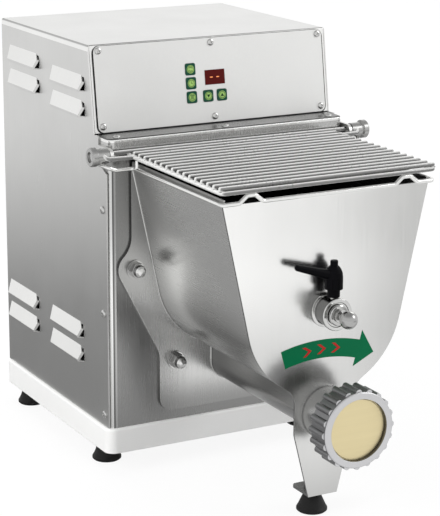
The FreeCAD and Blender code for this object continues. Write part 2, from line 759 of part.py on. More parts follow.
def shaft_collar():
    """The front bearing of the mixer, with a flange at each end and a threaded hole for the clamp."""
    profile = [(5 + fit, 0), (16, 0), (16, 2), (13.6, 2.6), (13.6, 16.2), (14.9, 16.6), (14.9, 19),
               (14.3, 19.8), (11.6, 19.8), (11.2, 19), (5 + fit, 19)]
    body = turned(profile, V(0, tank_front, mixer_z), V(0, -1, 0))
    nose = turned([(5 + fit, 0), (7.9, 0), (7.9, tank_front_gauge), (5 + fit, tank_front_gauge)],
                  V(0, tank_front, mixer_z), V(0, 1, 0))
    body = fuse([body, nose])
    return body.cut(along_z(3.05, 0, lever_y, mixer_z + 3, mixer_z + 30))


lever_y = tank_front - 12.0
lever_bottom = 214.2
lever_tip = 2.9
flute_count = 10


def clamp_lever():
    """A ratchet handle: a fluted hub with a cap, and an arm that tapers to its rounded tip."""
    profile = [(3.05, 0), (5.7, 0), (5.7, 6.6), (8.2, 7.2), (8.2, 18.5), (7.6, 22.5), (6.3, 25.6), (4.4, 28),
               (3.5, 28.3), (3.5, 32.7), (3.1, 33.2), (0, 33.2), (0, 6), (3.05, 6)]
    hub = turned(profile, V(0, lever_y, lever_bottom), V(0, 0, 1))
    flutes = []
    for i in range(flute_count):
        angle = 2 * math.pi * (i + 0.5) / flute_count
        flutes.append(along_z(1.0, 8.7 * math.cos(angle), lever_y + 8.7 * math.sin(angle),
                              lever_bottom + 6, lever_bottom + 17))
    start = V(-3, lever_y, lever_bottom + 20)
    tip = V(-37.5, lever_y, lever_bottom + 30.7)
    along = tip - start
    arm = Part.makeCone(4.7, lever_tip, along.Length, start, along)
    return fuse([cut(hub, flutes), arm, Part.makeSphere(lever_tip, tip)])


def clamp_stud():
    return along_z(3.0, 0, lever_y, mixer_z + 5.4, lever_bottom + 6)


def lock_pin():
    """The pull-out pin that carries the front end of the mixer, with a disc, a ring and its knob's stem."""
    profile = [(0, 0), (4, 0), (5, 1.5), (5, 42.3), (9.6, 42.3), (9.6, 44.3), (8.8, 45), (5, 45.4), (5, 46.6),
               (6.4, 47.2), (6.4, 48.8), (3.4, 49.6), (3, 50), (3, 54.5), (0, 54.5)]
    return turned(profile, V(0, tank_front + 22, mixer_z), V(0, -1, 0))


def ball_knob():
    middle = tank_front - 37.5
    knob = Part.makeSphere(8.2, V(0, middle, mixer_z))
    flat = box((-10, 10), (middle + 7.5, middle + 20), (mixer_z - 10, mixer_z + 10))
    stem_hole = along_y(3.0 + fit, 0, mixer_z, middle + 4, middle + 20)
    return cut(knob, [flat, stem_hole])


# Auger, die and ring nut
def flight_solid(start, length, steps_per_turn):
    """A helical flight with flat facets, thinner at its tip than at its root."""
    steps = int(length / auger_pitch * steps_per_turn)
    root = auger_core - 0.4
    section = [(root, -1.6), (auger_radius, -0.9), (auger_radius, 0.9), (root, 1.6)]
    rings = []
    for i in range(steps + 1):
        angle = 2 * math.pi * i / steps_per_turn
        y = start - length * i / steps
        rings.append([V(r * math.cos(angle), y + h, auger_z + r * math.sin(angle)) for r, h in section])
    triangles = []
    for near, far in zip(rings, rings[1:]):
        for i in range(4):
            j = (i + 1) % 4
            triangles.append((near[i], near[j], far[j]))
            triangles.append((near[i], far[j], far[i]))
    for ring in (rings[0], rings[-1]):
        triangles.append((ring[0], ring[1], ring[2]))
        triangles.append((ring[0], ring[2], ring[3]))
    faces = [Part.Face(Part.makePolygon([a, b, c, a])) for a, b, c in triangles]
    shell = Part.Shell(faces)
    shell.sewShape()
    solid = Part.Solid(Part.Shell(shell.Faces))
    if solid.Volume < 0:
        solid.reverse()
    return solid


def auger_screw():
    """A core with one helical flight."""
    core = along_y(auger_core, 0, auger_z, -204, case_back + 4)
    nose = Part.makeCone(auger_core, 3, 8, V(0, -204, auger_z), V(0, -1, 0))
    return fuse([core, nose, flight_solid(-12.0, 176.0, 18)])


def pasta_die():
    """A brass insert: a front disc and a hollow back that faces the auger."""
    shoulder = nut_lip + gap - die_recess
    profile = [(0, 0), (die_face_radius, 0), (die_face_radius, shoulder), (die_radius, shoulder),
               (die_radius, die_length), (25, die_length), (20, 8), (0, 8)]
    return turned(profile, V(0, nut_front_y + die_recess, auger_z), V(0, 1, 0))


def ring_nut():
    """The ribbed nut that holds the die in the barrel."""
    core = along_y(34.6, 0, auger_z, nut_front_y + 1.5, nut_back_y)
    face = turned([(0, 0), (34.4, 0), (35.2, 0.8), (35.2, 2), (0, 2)], V(0, nut_front_y, auger_z), V(0, 1, 0))
    ribs = []
    rib_radius = 3.2
    for i in range(nut_rib_count):
        angle = 2 * math.pi * i / nut_rib_count
        reach = nut_rib_radius - rib_radius
        x = reach * math.cos(angle)
        z = auger_z + reach * math.sin(angle)
        ribs.append(along_y(rib_radius, x, z, nut_front_y + 1.8, nut_back_y))
    body = fuse([core, face] + ribs)
    bore = along_y(thread_radius + thread_clearance, 0, auger_z, nut_front_y + nut_lip, nut_back_y + 1)
    opening = along_y(nut_opening, 0, auger_z, nut_front_y - 1, nut_front_y + nut_lip + 1)
    return cut(body, [bore, opening])


# Gears
def involute(base, radius):
    """The angle by which an involute has turned at a radius."""
    ratio = max(1.0, radius / base)
    return math.sqrt(ratio * ratio - 1) - math.acos(1 / ratio)


def gear(teeth, module, x, z, span, bore, first_tooth):
    """A spur gear about Y with a tooth at the given angle from +X towards +Z."""
    pitch_radius = teeth * module / 2
    base = pitch_radius * math.cos(math.radians(20))
    tip = pitch_radius + module
    root = pitch_radius - 1.25 * module
    backlash = 0.08 * module
    half_tooth = math.pi / (2 * teeth) - backlash / pitch_radius
    radii = [max(base, root) + (tip - max(base, root)) * step / 3 for step in range(4)]
    flank = [(r, half_tooth + involute(base, pitch_radius) - involute(base, r)) for r in radii]
    points = []
    for i in range(teeth):
        middle = math.radians(first_tooth) + 2 * math.pi * i / teeth
        tooth = [(root, -flank[0][1])] + [(r, -a) for r, a in flank]
        tooth += [(r, a) for r, a in reversed(flank)] + [(root, flank[0][1])]
        for r, a in tooth:
            points.append(V(x + r * math.cos(middle + a), span[0], z + r * math.sin(middle + a)))
    distinct = [p for i, p in enumerate(points) if (p - points[i - 1]).Length > 0.01]
    return prism(distinct, V(0, span[1] - span[0], 0)).cut(along_y(bore, x, z, span[0] - 1, span[1] + 1))


def mixer_gear():
    return gear(teeth_mixer, module_out, 0, mixer_z, out_gears, 10.03, 90)


def auger_gear():
    return gear(teeth_auger, module_out, 0, auger_z, out_gears, auger_core + 0.03, 90 + 180 / teeth_auger)


def layshaft_pinion():
    return gear(teeth_lay_pinion, module_out, 0, lay_z, out_gears, 6.03, -90 + 180 / teeth_lay_pinion)


def layshaft_gear():
    return gear(teeth_lay_gear, module_in, 0, lay_z, in_gears, 6.03, motor_angle)


def motor_pinion():
    return gear(teeth_motor, module_in, motor_x, motor_z, in_gears, 5.03, motor_angle - 180 + 180 / teeth_motor)


def layshaft():
    return along_y(6, 0, lay_z, case_front + 1, case_back + 4)


# Gearbox
def case_outline(shrink, y0, y1):
    """Round lobes about the four gear axes, run together."""
    margin = case_side + 2.5 - shrink
    lobes = [along_y(module_out * (teeth_auger / 2 + 1) + margin, 0, auger_z, y0, y1),
             along_y(module_out * (teeth_mixer / 2 + 1) + margin, 0, mixer_z, y0, y1),
             along_y(module_in * (teeth_lay_gear / 2 + 1) + margin - 2, 0, lay_z, y0, y1),
             along_y(module_in * (teeth_motor / 2 + 1) + margin, motor_x, motor_z, y0, y1)]
    return fuse(lobes)


bush_places = [(0, mixer_z, 10.0), (0, auger_z, auger_core), (0, lay_z, 6.0)]
ear_margin = case_side + 3.5
ear_angles = [(auger_z, module_out * (teeth_auger / 2 + 1), (220, 320)),
              (mixer_z, module_out * (teeth_mixer / 2 + 1), (0, 150, 180)),
              (lay_z, module_in * (teeth_lay_gear / 2 + 1) - 2, (20, 80))]


def ear_places():
    """The middles of the screw ears round the gearbox."""
    places = []
    for z, radius, angles in ear_angles:
        reach = radius + ear_margin
        places += [(reach * math.cos(math.radians(a)), z + reach * math.sin(math.radians(a))) for a in angles]
    return places


def eared_outline(y0, y1):
    """The gearbox outline with its screw ears."""
    return fuse([case_outline(0, y0, y1)] + [along_y(5, x, z, y0, y1) for x, z in ear_places()])


def gearbox_case():
    case = eared_outline(case_front, case_back)
    case = case.cut(case_outline(case_side, case_front + case_wall, case_back + 1))
    holes = [along_y(shaft + 4.0, x, z, 0, case_front + case_wall + 1) for x, z, shaft in bush_places]
    holes += [along_y(2.0, x, z, case_back - 15, case_back + 1) for x, z in ear_places()]
    return cut(case, holes)


def gearbox_cover():
    cover = eared_outline(case_back, cover_back)
    holes = [along_y(shaft + 4.0, x, z, case_back - 1, cover_back + 1) for x, z, shaft in bush_places]
    holes.append(along_y(8.0, motor_x, motor_z, case_back - 1, cover_back + 1))
    holes += [along_y(2.0, x, z, case_back - 1, cover_back + 1) for x, z in ear_places()]
    return cut(cover, holes)


def cover_screws():
    """Cap screws that hold the gearbox cover on its case."""
    return [pan_screw(V(x, cover_back, z), V(0, 1, 0), 18, 3.6, 3.6) for x, z in ear_places()]


def gearbox_bushes():
    bushes = []
    for x, z, shaft in bush_places:
        front = [(shaft + fit, 0), (shaft + 3.97, 0), (shaft + 3.97, case_wall), (shaft + 6, case_wall),
                 (shaft + 6, case_wall + 1.5), (shaft + fit, case_wall + 1.5)]
        bushes.append(turned(front, V(x, case_front, z), V(0, 1, 0)))
        bushes.append(turned(front, V(x, cover_back, z), V(0, -1, 0)))
    return bushes


# Motor
motor_radius = 46.0
motor_front = cover_back
motor_back = 178.0
cowl_back = 206.0


def motor_housing():
    """A ribbed round housing with a closed front and an open back."""
    body = along_y(motor_radius - 3, motor_x, motor_z, motor_front, motor_back)
    rib_count = 12
    ribs = []
    for i in range(rib_count):
        rib = box((motor_radius - 6, motor_radius), (motor_front + 8, motor_back - 4), (-1.2, 1.2))
        rib.rotate(V(0, 0, 0), V(0, 1, 0), 360 * i / rib_count)
        rib.translate(V(motor_x, 0, motor_z))
        ribs.append(rib)
    body = fuse([body] + ribs)
    hollow = along_y(motor_radius - 6, motor_x, motor_z, motor_front + 6, motor_back + 1)
    return cut(body, [hollow, along_y(11, motor_x, motor_z, motor_front - 1, motor_front + 7)])


def motor_stator():
    return tube(motor_radius - 6.03, 28.5, V(motor_x, 75, motor_z), V(motor_x, 150, motor_z))


def motor_end_bell():
    profile = [(11.0, 0), (motor_radius - 3, 0), (motor_radius - 3, 3), (16, 8), (11.0, 8)]
    return turned(profile, V(motor_x, motor_back, motor_z), V(0, 1, 0))


def motor_bearings():
    front = tube(10.97, 6 + fit, V(motor_x, motor_front, motor_z), V(motor_x, motor_front + 6, motor_z))
    back = tube(10.97, 6 + fit, V(motor_x, motor_back + 1, motor_z), V(motor_x, motor_back + 7, motor_z))
    return [front, back]


def motor_rotor():
    shaft = along_y(6, motor_x, motor_z, in_gears[1] + 2, 200)
    neck = along_y(5, motor_x, motor_z, in_gears[0] - 2, in_gears[1] + 2)
    core = along_y(28, motor_x, motor_z, 78, 147)
    return fuse([shaft, neck, core])


def cooling_fan():
    blades = [tube(10, 6.03, V(motor_x, motor_back + 10, motor_z), V(motor_x, motor_back + 22, motor_z))]
    for i in range(7):
        blade = box((9, 37), (motor_back + 11, motor_back + 21), (-1, 1))
        blade.rotate(V(0, 0, 0), V(0, 1, 0), 360 * i / 7)
        blade.translate(V(motor_x, 0, motor_z))
        blades.append(blade)
    return fuse(blades)


def fan_cowl():
    bore = motor_radius - 3 + 0.02
    length = cowl_back - motor_back + 4
    profile = [(bore, 0), (motor_radius - 1, 0), (motor_radius - 1, length), (14, length), (14, length - 1.5),
               (bore, length - 1.5)]
    return turned(profile, V(motor_x, motor_back - 2, motor_z), V(0, 1, 0))


def run_capacitor():
    can = along_z(17, 80, 150, plinth_top, plinth_top + 62)
    neck = along_z(14, 80, 150, plinth_top + 62, plinth_top + 68)
    return fuse([can, neck])


def terminal_block():
    block = box((-100, -60), (170, 190), (plinth_top, plinth_top + 16))
    grooves = [box((x, x + 2), (168, 192), (plinth_top + 10, plinth_top + 20)) for x in range(-91, -62, 10)]
    return cut(block, grooves)


def guard_switch():
    """The switch that tells whether the guard is down, fixed behind the front wall."""
    body = box((-half + 9, -half + 23), (sheet, sheet + 14), (270, 298))
    return body


save("plinth", plinth())
save("rubber_feet", *feet())
save("foot_studs", *foot_studs())
save("hood", hood())
save("back_panel", back_panel())
save("front_panel", front_panel())
save("control_plate", control_plate())
save("side_screws", *side_screws())
save("plate_screws", *plate_screws())
save("ledge_screws", *ledge_screws())
save("back_screws", *back_screws())
save("cable_gland", cable_gland())
for key_name, key_place in key_places.items():
    save(key_name, key(*key_place))
save("display_window", display_window())
save("control_board", control_board(), display_module())
save("board_standoffs", *board_standoffs())
save("tank_shell", tank_shell())
save("tank_back_plate", tank_back_plate())
save("tank_front_plate", tank_front_plate())
save("extruder_barrel", extruder_barrel())
save("tank_studs", *tank_studs())
save("cap_nuts", *cap_nuts(), *stud_washers())
save("front_foot", front_foot())
save("front_foot_stud", front_foot_stud())
save("front_foot_nut", front_foot_nut())
save("guard_grid", guard_grid())
save("guard_rim_frame", guard_rim_frame())
save("guard_bosses", guard_boss(), mirrored(guard_boss()))
save("hinge_brackets", hinge_bracket(), mirrored(hinge_bracket()))
save("hinge_pins", hinge_pin(), mirrored(hinge_pin()))
save("bracket_screws", bracket_screw(), mirrored(bracket_screw()))
save("mixer_shaft", mixer_shaft())
save("mixer_blades", *mixer_blades())
save("mixer_output_shaft", mixer_output_shaft())
save("mixer_seal", mixer_seal())
save("shaft_collar", shaft_collar())
save("clamp_lever", clamp_lever())
save("clamp_stud", clamp_stud())
save("lock_pin", lock_pin())
save("ball_knob", ball_knob())
save("auger_screw", auger_screw())
save("pasta_die", pasta_die())
save("ring_nut", ring_nut())
save("mixer_gear", mixer_gear())
save("auger_gear", auger_gear())
save("layshaft", layshaft(), layshaft_pinion(), layshaft_gear())
save("gearbox_case", gearbox_case())
save("gearbox_cover", gearbox_cover(), *cover_screws())
save("gearbox_bushes", *gearbox_bushes())
save("motor_housing", motor_housing(), motor_end_bell())
save("motor_stator", motor_stator())
save("motor_rotor", motor_rotor(), motor_pinion())
save("motor_bearings", *motor_bearings())
save("cooling_fan", cooling_fan())
save("fan_cowl", fan_cowl())
save("inner_electrics", run_capacitor(), terminal_block(), guard_switch())
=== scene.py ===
import json
import math

import bmesh
import bpy
from mathutils import Matrix, Vector


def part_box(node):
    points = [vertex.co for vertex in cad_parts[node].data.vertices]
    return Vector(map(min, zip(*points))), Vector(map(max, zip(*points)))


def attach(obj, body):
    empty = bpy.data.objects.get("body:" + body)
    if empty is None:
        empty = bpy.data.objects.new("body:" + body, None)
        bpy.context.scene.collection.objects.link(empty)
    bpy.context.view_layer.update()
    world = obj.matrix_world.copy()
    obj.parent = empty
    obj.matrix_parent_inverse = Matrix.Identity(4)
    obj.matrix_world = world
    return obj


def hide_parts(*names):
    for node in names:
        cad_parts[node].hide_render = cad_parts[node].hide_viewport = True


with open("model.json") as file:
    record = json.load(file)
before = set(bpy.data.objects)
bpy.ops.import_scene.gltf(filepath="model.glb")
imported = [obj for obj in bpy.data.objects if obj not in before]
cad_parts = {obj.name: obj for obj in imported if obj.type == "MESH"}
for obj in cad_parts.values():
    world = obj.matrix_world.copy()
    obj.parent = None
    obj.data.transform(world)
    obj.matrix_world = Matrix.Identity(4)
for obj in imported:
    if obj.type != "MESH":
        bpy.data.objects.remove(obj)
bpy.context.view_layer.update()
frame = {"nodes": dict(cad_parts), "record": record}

# Places and sizes are in millimetres beside the front wall's plane, unless a comment says otherwise
MM = 0.001
WALL_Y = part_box("front_panel")[0].y

# Control plate: its slope's foot and head, as place behind the wall's plane and height, and its outline on
# the slope, as half its width, its foot, its head and its corners' radius
SLOPE_FOOT = (28.7, 333.0)
SLOPE_HEAD = (41.0, 416.0)
PLATE_GAUGE = 1.2
PLATE_OUTLINE = (125.0, 0.8, 82.3, 6.0)

# A dark seal under the control plate that paints the shadow in the gap round it: what shows of it at the
# sides and the top, and how far it goes under
SHADOW_SEAL_SHOW = 1.2
SHADOW_SEAL_SHOW_TOP = 0.4
SHADOW_SEAL_LAP = 2.0
SHADOW_SEAL_THICK = 0.5

# Keys and display, across and up the control plate
KEY_PROUD = 0.7
KEY_PLACES = {
    "key_mix": (-24.0, 53.5),
    "key_timer": (-24.0, 40.0),
    "key_extrude": (-24.0, 26.5),
    "key_down": (-6.2, 26.5),
    "key_up": (8.8, 26.5),
}
KEY_DISC = 3.9
KEY_RING = 3.1
KEY_RING_WIDTH = 0.5
DISC_TOP = 0.04
RING_TOP = 0.07
SIGN_TOP = 0.08
DISPLAY_PLACE = (2.2, 44.3)
DISPLAY_TOP = 0.3
DASH_SIZE = (3.0, 0.9)
DASH_LEFTS = (-5.4, 1.6)
DASH_THICK = 0.05

# Screws, as the head's radius and height and the shank's radius and length, with the places of each group
PLATE_SCREW = (3.4, 1.7, 1.7, 5.0)
PLATE_SCREW_PLACES = [(x, up) for x in (-120.0, 0.0, 120.0) for up in (6.5, 78.0)]
SIDE_SCREW = (3.9, 2.2, 1.9, 5.0)
SIDE_SCREW_PLACES = [(10.5, z) for z in (60.0, 162.0, 264.0)]
LEDGE_SCREW = (3.6, 2.0, 1.9, 6.0)
LEDGE_SCREW_PLACES = [(x, 8.0) for x in (-116.0, 0.0, 116.0)]
BACK_SCREW = (3.6, 2.0, 1.8, 5.0)
BACK_SCREW_PLACES = [(x, z) for x in (-119.0, 119.0) for z in (64.0, 232.0, 400.0)]
BRACKET_SCREW = (4.0, 2.2, 2.4, 8.0)
BRACKET_SCREW_PLACE = (131.9, 10.0, 319.5)
HOUSING_HALF = 130.0
LEDGE_Z = 333.0
BACK_FACE = 253.2

# A screw's dome, as shares of its head's radius and height, and the turns of the recesses in degrees
SCREW_DOME = [(1.0, 0.3), (0.96, 0.5), (0.84, 0.72), (0.64, 0.88), (0.36, 0.97)]
SCREW_TURNS = (12, 47, 71, 28, 5, 60)

# Tank and extruder, from outside
TANK_FRONT = -181.0
TANK_BACK = -3.0
TANK_RIM_Z = 305.0
TANK_HALF = 105.5
TROUGH_RADIUS = 80.0
MIXER_Z = 199.0
AUGER_Z = 103.0
BARREL_RADIUS = 20.5

# Weld bead between the tank and its flange
BEAD_RADIUS = 0.85
BEAD_RIPPLE = 0.12
BEAD_STEP = 0.6
BEAD_Y = TANK_BACK - 0.3
BEAD_OUT = 0.2

# Guard: its wire's radius with the share of it at a wire's ends, the lid's frame and arms, and the cross
# wires, which are counted from the back
WIRE = 2.0
WIRE_END = 0.7
FRAME_HALF = 109.5
FRAME_Z = 317.5
FRAME_YS = (-4.0, -186.0)
FRAME_CORNER = 5.0
GUARD_ARM = [(141.5, -6.0, 324.5), (136.5, -15.0, 318.0), (109.5, -15.0, 317.5)]
ARM_CORNER = 4.0
GRID_FIRST_Y = -5.0
GRID_FIRST_HALF = 127.0
GRID_HALF = 110.6
GRID_PITCH = 11.1
GRID_COUNT = 17

# A weld where two wires cross: how far the wires sink together, and its form as radius and height
WELD_SINK = 0.4
WELD_NUGGET = [(0, -1.3), (1.6, -1.1), (2.4, -0.4), (2.4, 0.4), (1.5, 1.2), (0, 1.4)]

# Folded edge along the tank's mouth
HEM_THICK = 1.6
HEM_TOP = 310.8
HEM_LAP = 1.0
HEM_CHAMFER = 0.7

# Front foot's stud, and its disc as radius, thickness and chamfer
FRONT_FOOT = (0.0, -162.5)
STUD_RADIUS = 4.0
STUD_PITCH = 1.25
STUD_DISC = (6.5, 1.2, 0.2)

# Arrow on the tank, in its own plane, in millimetres and degrees. Its arcs share one centre.
ARROW_CENTRE = (-5.0, 18.5)
ARROW_BAND = (135.5, 152.7)
ARROW_HEAD = (127.4, 161.7)
ARROW_TIP = 144.7
ARROW_TAIL_ANGLE = -15.7
ARROW_NECK_ANGLE = 15.8
ARROW_TIP_ANGLE = 23.0
ARROW_THICK = 0.2
CHEVRON_ANGLES = (-7.5, -1.5, 4.5)
CHEVRON_MARGIN = 4.0
CHEVRON_THICK = 1.3
CHEVRON_POINT = 2.4
CHEVRON_TOP = 0.3


def at(x, y, z):
    """A point given in millimetres beside the front wall's plane."""
    return Vector((x * MM, WALL_Y + y * MM, z * MM))


def slope_frame():
    """Across, up and out of the control plate, in millimetres."""
    up = Vector((0, SLOPE_HEAD[0] - SLOPE_FOOT[0], SLOPE_HEAD[1] - SLOPE_FOOT[1])).normalized()
    out = Vector((0, -up.z, up.y))
    turn = Matrix((Vector((1, 0, 0)), up, out)).transposed()
    return Matrix.Translation(at(0, *SLOPE_FOOT)) @ turn.to_4x4() @ Matrix.Scale(MM, 4)


def front_frame(x, y, z):
    """Right, up and forwards from a point on a surface that faces the front, in millimetres."""
    turn = Matrix(((1, 0, 0), (0, 0, -1), (0, 1, 0)))
    return Matrix.Translation(at(x, y, z)) @ turn.to_4x4() @ Matrix.Scale(MM, 4)


def outward(point, direction):
    """A frame in millimetres whose third axis points along a direction."""
    turn = Vector(direction).to_track_quat("Z", "Y").to_matrix().to_4x4()
    return Matrix.Translation(at(*point)) @ turn @ Matrix.Scale(MM, 4)


# Parts of materials. Most of the noise lies between the two middle values, and its scales are per metre.
NOISE_MIDDLE = (0.3, 0.7)
CLOUD_SCALE = 9.0
SMEAR_SCALE = 26.0
SKIN_CLOUD_SCALE = 14.0


def new_material(name, colour, metallic, roughness, **sockets):
    """A material with its main shader set."""
    made = bpy.data.materials.new(name)
    made.use_nodes = True
    shader = main_shader(made)
    shader.inputs["Base Color"].default_value = (*colour, 1)
    shader.inputs["Metallic"].default_value = metallic
    shader.inputs["Roughness"].default_value = roughness
    for socket, value in sockets.items():
        shader.inputs[socket.replace("_", " ")].default_value = value
    return made


def main_shader(material):
    """The shader that every material starts from."""
    return material.node_tree.nodes["Principled BSDF"]


def add_node(material, kind, inputs=None, **settings):
    """A node whose inputs are values or other nodes' outputs."""
    made = material.node_tree.nodes.new(kind)
    for key, value in settings.items():
        setattr(made, key, value)
    for key, value in (inputs or {}).items():
        if isinstance(value, bpy.types.NodeSocket):
            material.node_tree.links.new(value, made.inputs[key])
        else:
            made.inputs[key].default_value = value
    return made


def math_node(material, operation, first, second=0.0):
    """The result of one calculation."""
    return add_node(material, "ShaderNodeMath", {0: first, 1: second}, operation=operation).outputs[0]


def ramp(material, value, clear, dull, low=0.0, high=1.0, **settings):
    """A value brought from one range to another."""
    step = add_node(material, "ShaderNodeMapRange", {"Value": value, "From Min": clear, "From Max": dull,
                                                     "To Min": low, "To Max": high}, **settings)
    return step.outputs[0]


def soft_step(material, value, clear, dull, low=0.0, high=1.0):
    """A soft step between two values."""
    return ramp(material, value, clear, dull, low, high, interpolation_type="SMOOTHSTEP")


def noise(material, scale, detail=2.0, stretch=(1, 1, 1)):
    """Noise in the piece's own space, stretched along the axes."""
    place = add_node(material, "ShaderNodeTexCoord")
    mapping = add_node(material, "ShaderNodeMapping", {"Vector": place.outputs["Object"], "Scale": stretch})
    return add_node(material, "ShaderNodeTexNoise",
                    {"Vector": mapping.outputs[0], "Scale": scale, "Detail": detail}).outputs["Fac"]


def spread(material, value, low, high):
    """Noise brought to a range of values."""
    return ramp(material, value, *NOISE_MIDDLE, low, high)


def tint(material, value, dark, light):
    """Colour that goes from dark to light with a value."""
    mix = add_node(material, "ShaderNodeMix", {"Factor": value}, data_type="RGBA")
    mix.inputs[6].default_value = (*dark, 1)
    mix.inputs[7].default_value = (*light, 1)
    material.node_tree.links.new(mix.outputs[2], main_shader(material).inputs["Base Color"])


def relief(material, value, depth, edge=0.0):
    """Small bumps from a value, and soft light along the edges."""
    inputs = {"Height": value, "Distance": depth, "Strength": 1.0}
    if edge:
        inputs["Normal"] = add_node(material, "ShaderNodeBevel", {"Radius": edge}, samples=4).outputs[0]
    bump = add_node(material, "ShaderNodeBump", inputs)
    material.node_tree.links.new(bump.outputs[0], main_shader(material).inputs["Normal"])


def object_place(material):
    """A surface's place along each axis of its piece, in metres."""
    place = add_node(material, "ShaderNodeTexCoord")
    return add_node(material, "ShaderNodeSeparateXYZ", {0: place.outputs["Object"]}).outputs


def object_facing(material):
    """A surface's normal along each axis of its piece."""
    place = add_node(material, "ShaderNodeTexCoord")
    return add_node(material, "ShaderNodeSeparateXYZ", {0: place.outputs["Normal"]}).outputs


def object_tilt(material):
    """How far a surface faces along each axis of its piece, either way."""
    return [math_node(material, "ABSOLUTE", facing) for facing in object_facing(material)]


# Painted shade: each function takes a share of the colour away by place or by facing, where shade would fall.
# The hood's bends are above one height. The tank's sides lean out by a share of their rise, and its inside
# starts a little within its outer section.
BEND_HEIGHT = 410.0
TANK_LEAN = 0.222
TANK_INSIDE_MARGIN = 0.7
TANK_INSIDE_SHADE = 0.88
EDGE_AND_SIDE_PAINTED_SHADE = 0.72


def darken(material, mask, share):
    """Takes a share of the colour away where a mask is one."""
    base = main_shader(material).inputs["Base Color"]
    source = base.links[0].from_socket
    factor = math_node(material, "MULTIPLY", mask, share)
    mix = add_node(material, "ShaderNodeMix", {"Factor": factor}, data_type="RGBA")
    material.node_tree.links.new(source, mix.inputs[6])
    mix.inputs[7].default_value = (0, 0, 0, 1)
    material.node_tree.links.new(mix.outputs[2], base)


def paint_shade_on_uprights(material, share):
    """Painted shade on the hood's faces that don't look upwards, so that its louvres stand out."""
    low = math_node(material, "LESS_THAN", object_place(material)[2], BEND_HEIGHT * MM)
    upright = soft_step(material, object_facing(material)[2], 0.08, 0.02)
    darken(material, math_node(material, "MULTIPLY", upright, low), share)


def paint_shade_on_bends(material, share):
    """Painted shade along the hood's rounded top edges."""
    x, y, z = object_tilt(material)
    level = math_node(material, "MULTIPLY", z, math_node(material, "MAXIMUM", x, y))
    high = math_node(material, "GREATER_THAN", object_place(material)[2], BEND_HEIGHT * MM)
    darken(material, math_node(material, "MULTIPLY", ramp(material, level, 0.2, 0.45), high), share)


def paint_shade_on_flanks(material, least, share):
    """Painted shade on every face that looks less to the front or the back than a least tilt."""
    darken(material, math_node(material, "LESS_THAN", object_tilt(material)[1], least), share)


def paint_shade_on_fronts(material, share):
    """Painted shade on the front and the back of wires that run across."""
    darken(material, soft_step(material, object_tilt(material)[1], 0.55, 0.9), share)


def paint_shade_behind(material):
    """Painted shade on faces that look backwards, into the tank."""
    behind = math_node(material, "GREATER_THAN", object_facing(material)[1], 0.5)
    darken(material, behind, TANK_INSIDE_SHADE)


def paint_shade_inside(material):
    """Painted shade on the part of a flat sheet that closes the tank's end, inside its section as seen from
    the front.
    """
    x, _, z = object_place(material)
    rise = math_node(material, "SUBTRACT", z, MIXER_Z * MM)
    lean = math_node(material, "MULTIPLY", math_node(material, "MAXIMUM", rise), TANK_LEAN)
    across = math_node(material, "SUBTRACT", math_node(material, "ABSOLUTE", x), lean)
    below = math_node(material, "MINIMUM", rise)
    flat = add_node(material, "ShaderNodeCombineXYZ", {0: across, 1: below})
    reach = add_node(material, "ShaderNodeVectorMath", {0: flat.outputs[0]}, operation="LENGTH")
    radius = (TROUGH_RADIUS - TANK_INSIDE_MARGIN) * MM
    darken(material, math_node(material, "LESS_THAN", reach.outputs["Value"], radius), TANK_INSIDE_SHADE)


def paint_shade_inward(material):
    """Painted shade on faces that look towards the mixer's axis, which see little but each other."""
    place = add_node(material, "ShaderNodeTexCoord")
    away = add_node(material, "ShaderNodeVectorMath", {0: place.outputs["Object"], 1: (0, 0, MIXER_Z * MM)},
                    operation="SUBTRACT")
    flat = add_node(material, "ShaderNodeVectorMath", {0: away.outputs[0], 1: (1, 0, 1)},
                    operation="MULTIPLY")
    facing = add_node(material, "ShaderNodeVectorMath", {0: flat.outputs[0], 1: place.outputs["Normal"]},
                      operation="DOT_PRODUCT")
    darken(material, math_node(material, "LESS_THAN", facing.outputs["Value"], 0.0), TANK_INSIDE_SHADE)


# Metals, paints and plastics. A grain is how fast the noise changes along each axis, and depths and edges are
# in metres.
VERTICAL = (1, 1, 0.02)
ACROSS = (0.02, 1, 1)
ALONG = (1, 0.02, 1)
GRAIN_DEPTH = 0.0000006
FAINT_DEPTH = 0.0000002


def grey(level, warmth=0.985):
    """A grey that is a little warm."""
    return level, level, level * warmth


def steel(name, colour, roughness, grain=(1, 1, 1), edge=0.0006, scale=900.0, depth=GRAIN_DEPTH,
          streaks=0.05, metallic=1.0, painted_shade_axis=None, painted_fades=()):
    """Metal with a fine grain, faint clouds and smears, and painted shade on faces that look across one axis.

    A fade paints shade: an axis, the places in metres where it starts and ends, and the share of colour it
    takes."""
    made = new_material(name, colour, metallic, roughness)
    clouds = spread(made, noise(made, CLOUD_SCALE, 3.0), 0, 1)
    fine = noise(made, scale, 3.0, grain)
    long_streaks = spread(made, noise(made, scale * 0.25, 2.0, grain), 0.6, 1.0)
    shade = math_node(made, "MULTIPLY", clouds, long_streaks)
    tint(made, shade, [c * (1 - streaks) for c in colour], colour)
    smears = spread(made, noise(made, SMEAR_SCALE, 4.0), 0.92, 1.08)
    rough = math_node(made, "MULTIPLY", spread(made, fine, roughness * 0.9, roughness * 1.12), smears)
    made.node_tree.links.new(rough, main_shader(made).inputs["Roughness"])
    relief(made, fine, depth, edge)
    # Painted shade on faces that look across one axis: a sheet's cut edges, and the sides of nuts and collars
    if painted_shade_axis is not None:
        darken(made, math_node(made, "LESS_THAN", object_tilt(made)[painted_shade_axis], 0.5), EDGE_AND_SIDE_PAINTED_SHADE)
    # Painted shade that grows along an axis
    for axis, clear, dull, share in painted_fades:
        darken(made, soft_step(made, object_place(made)[axis], clear, dull), share)
    return made


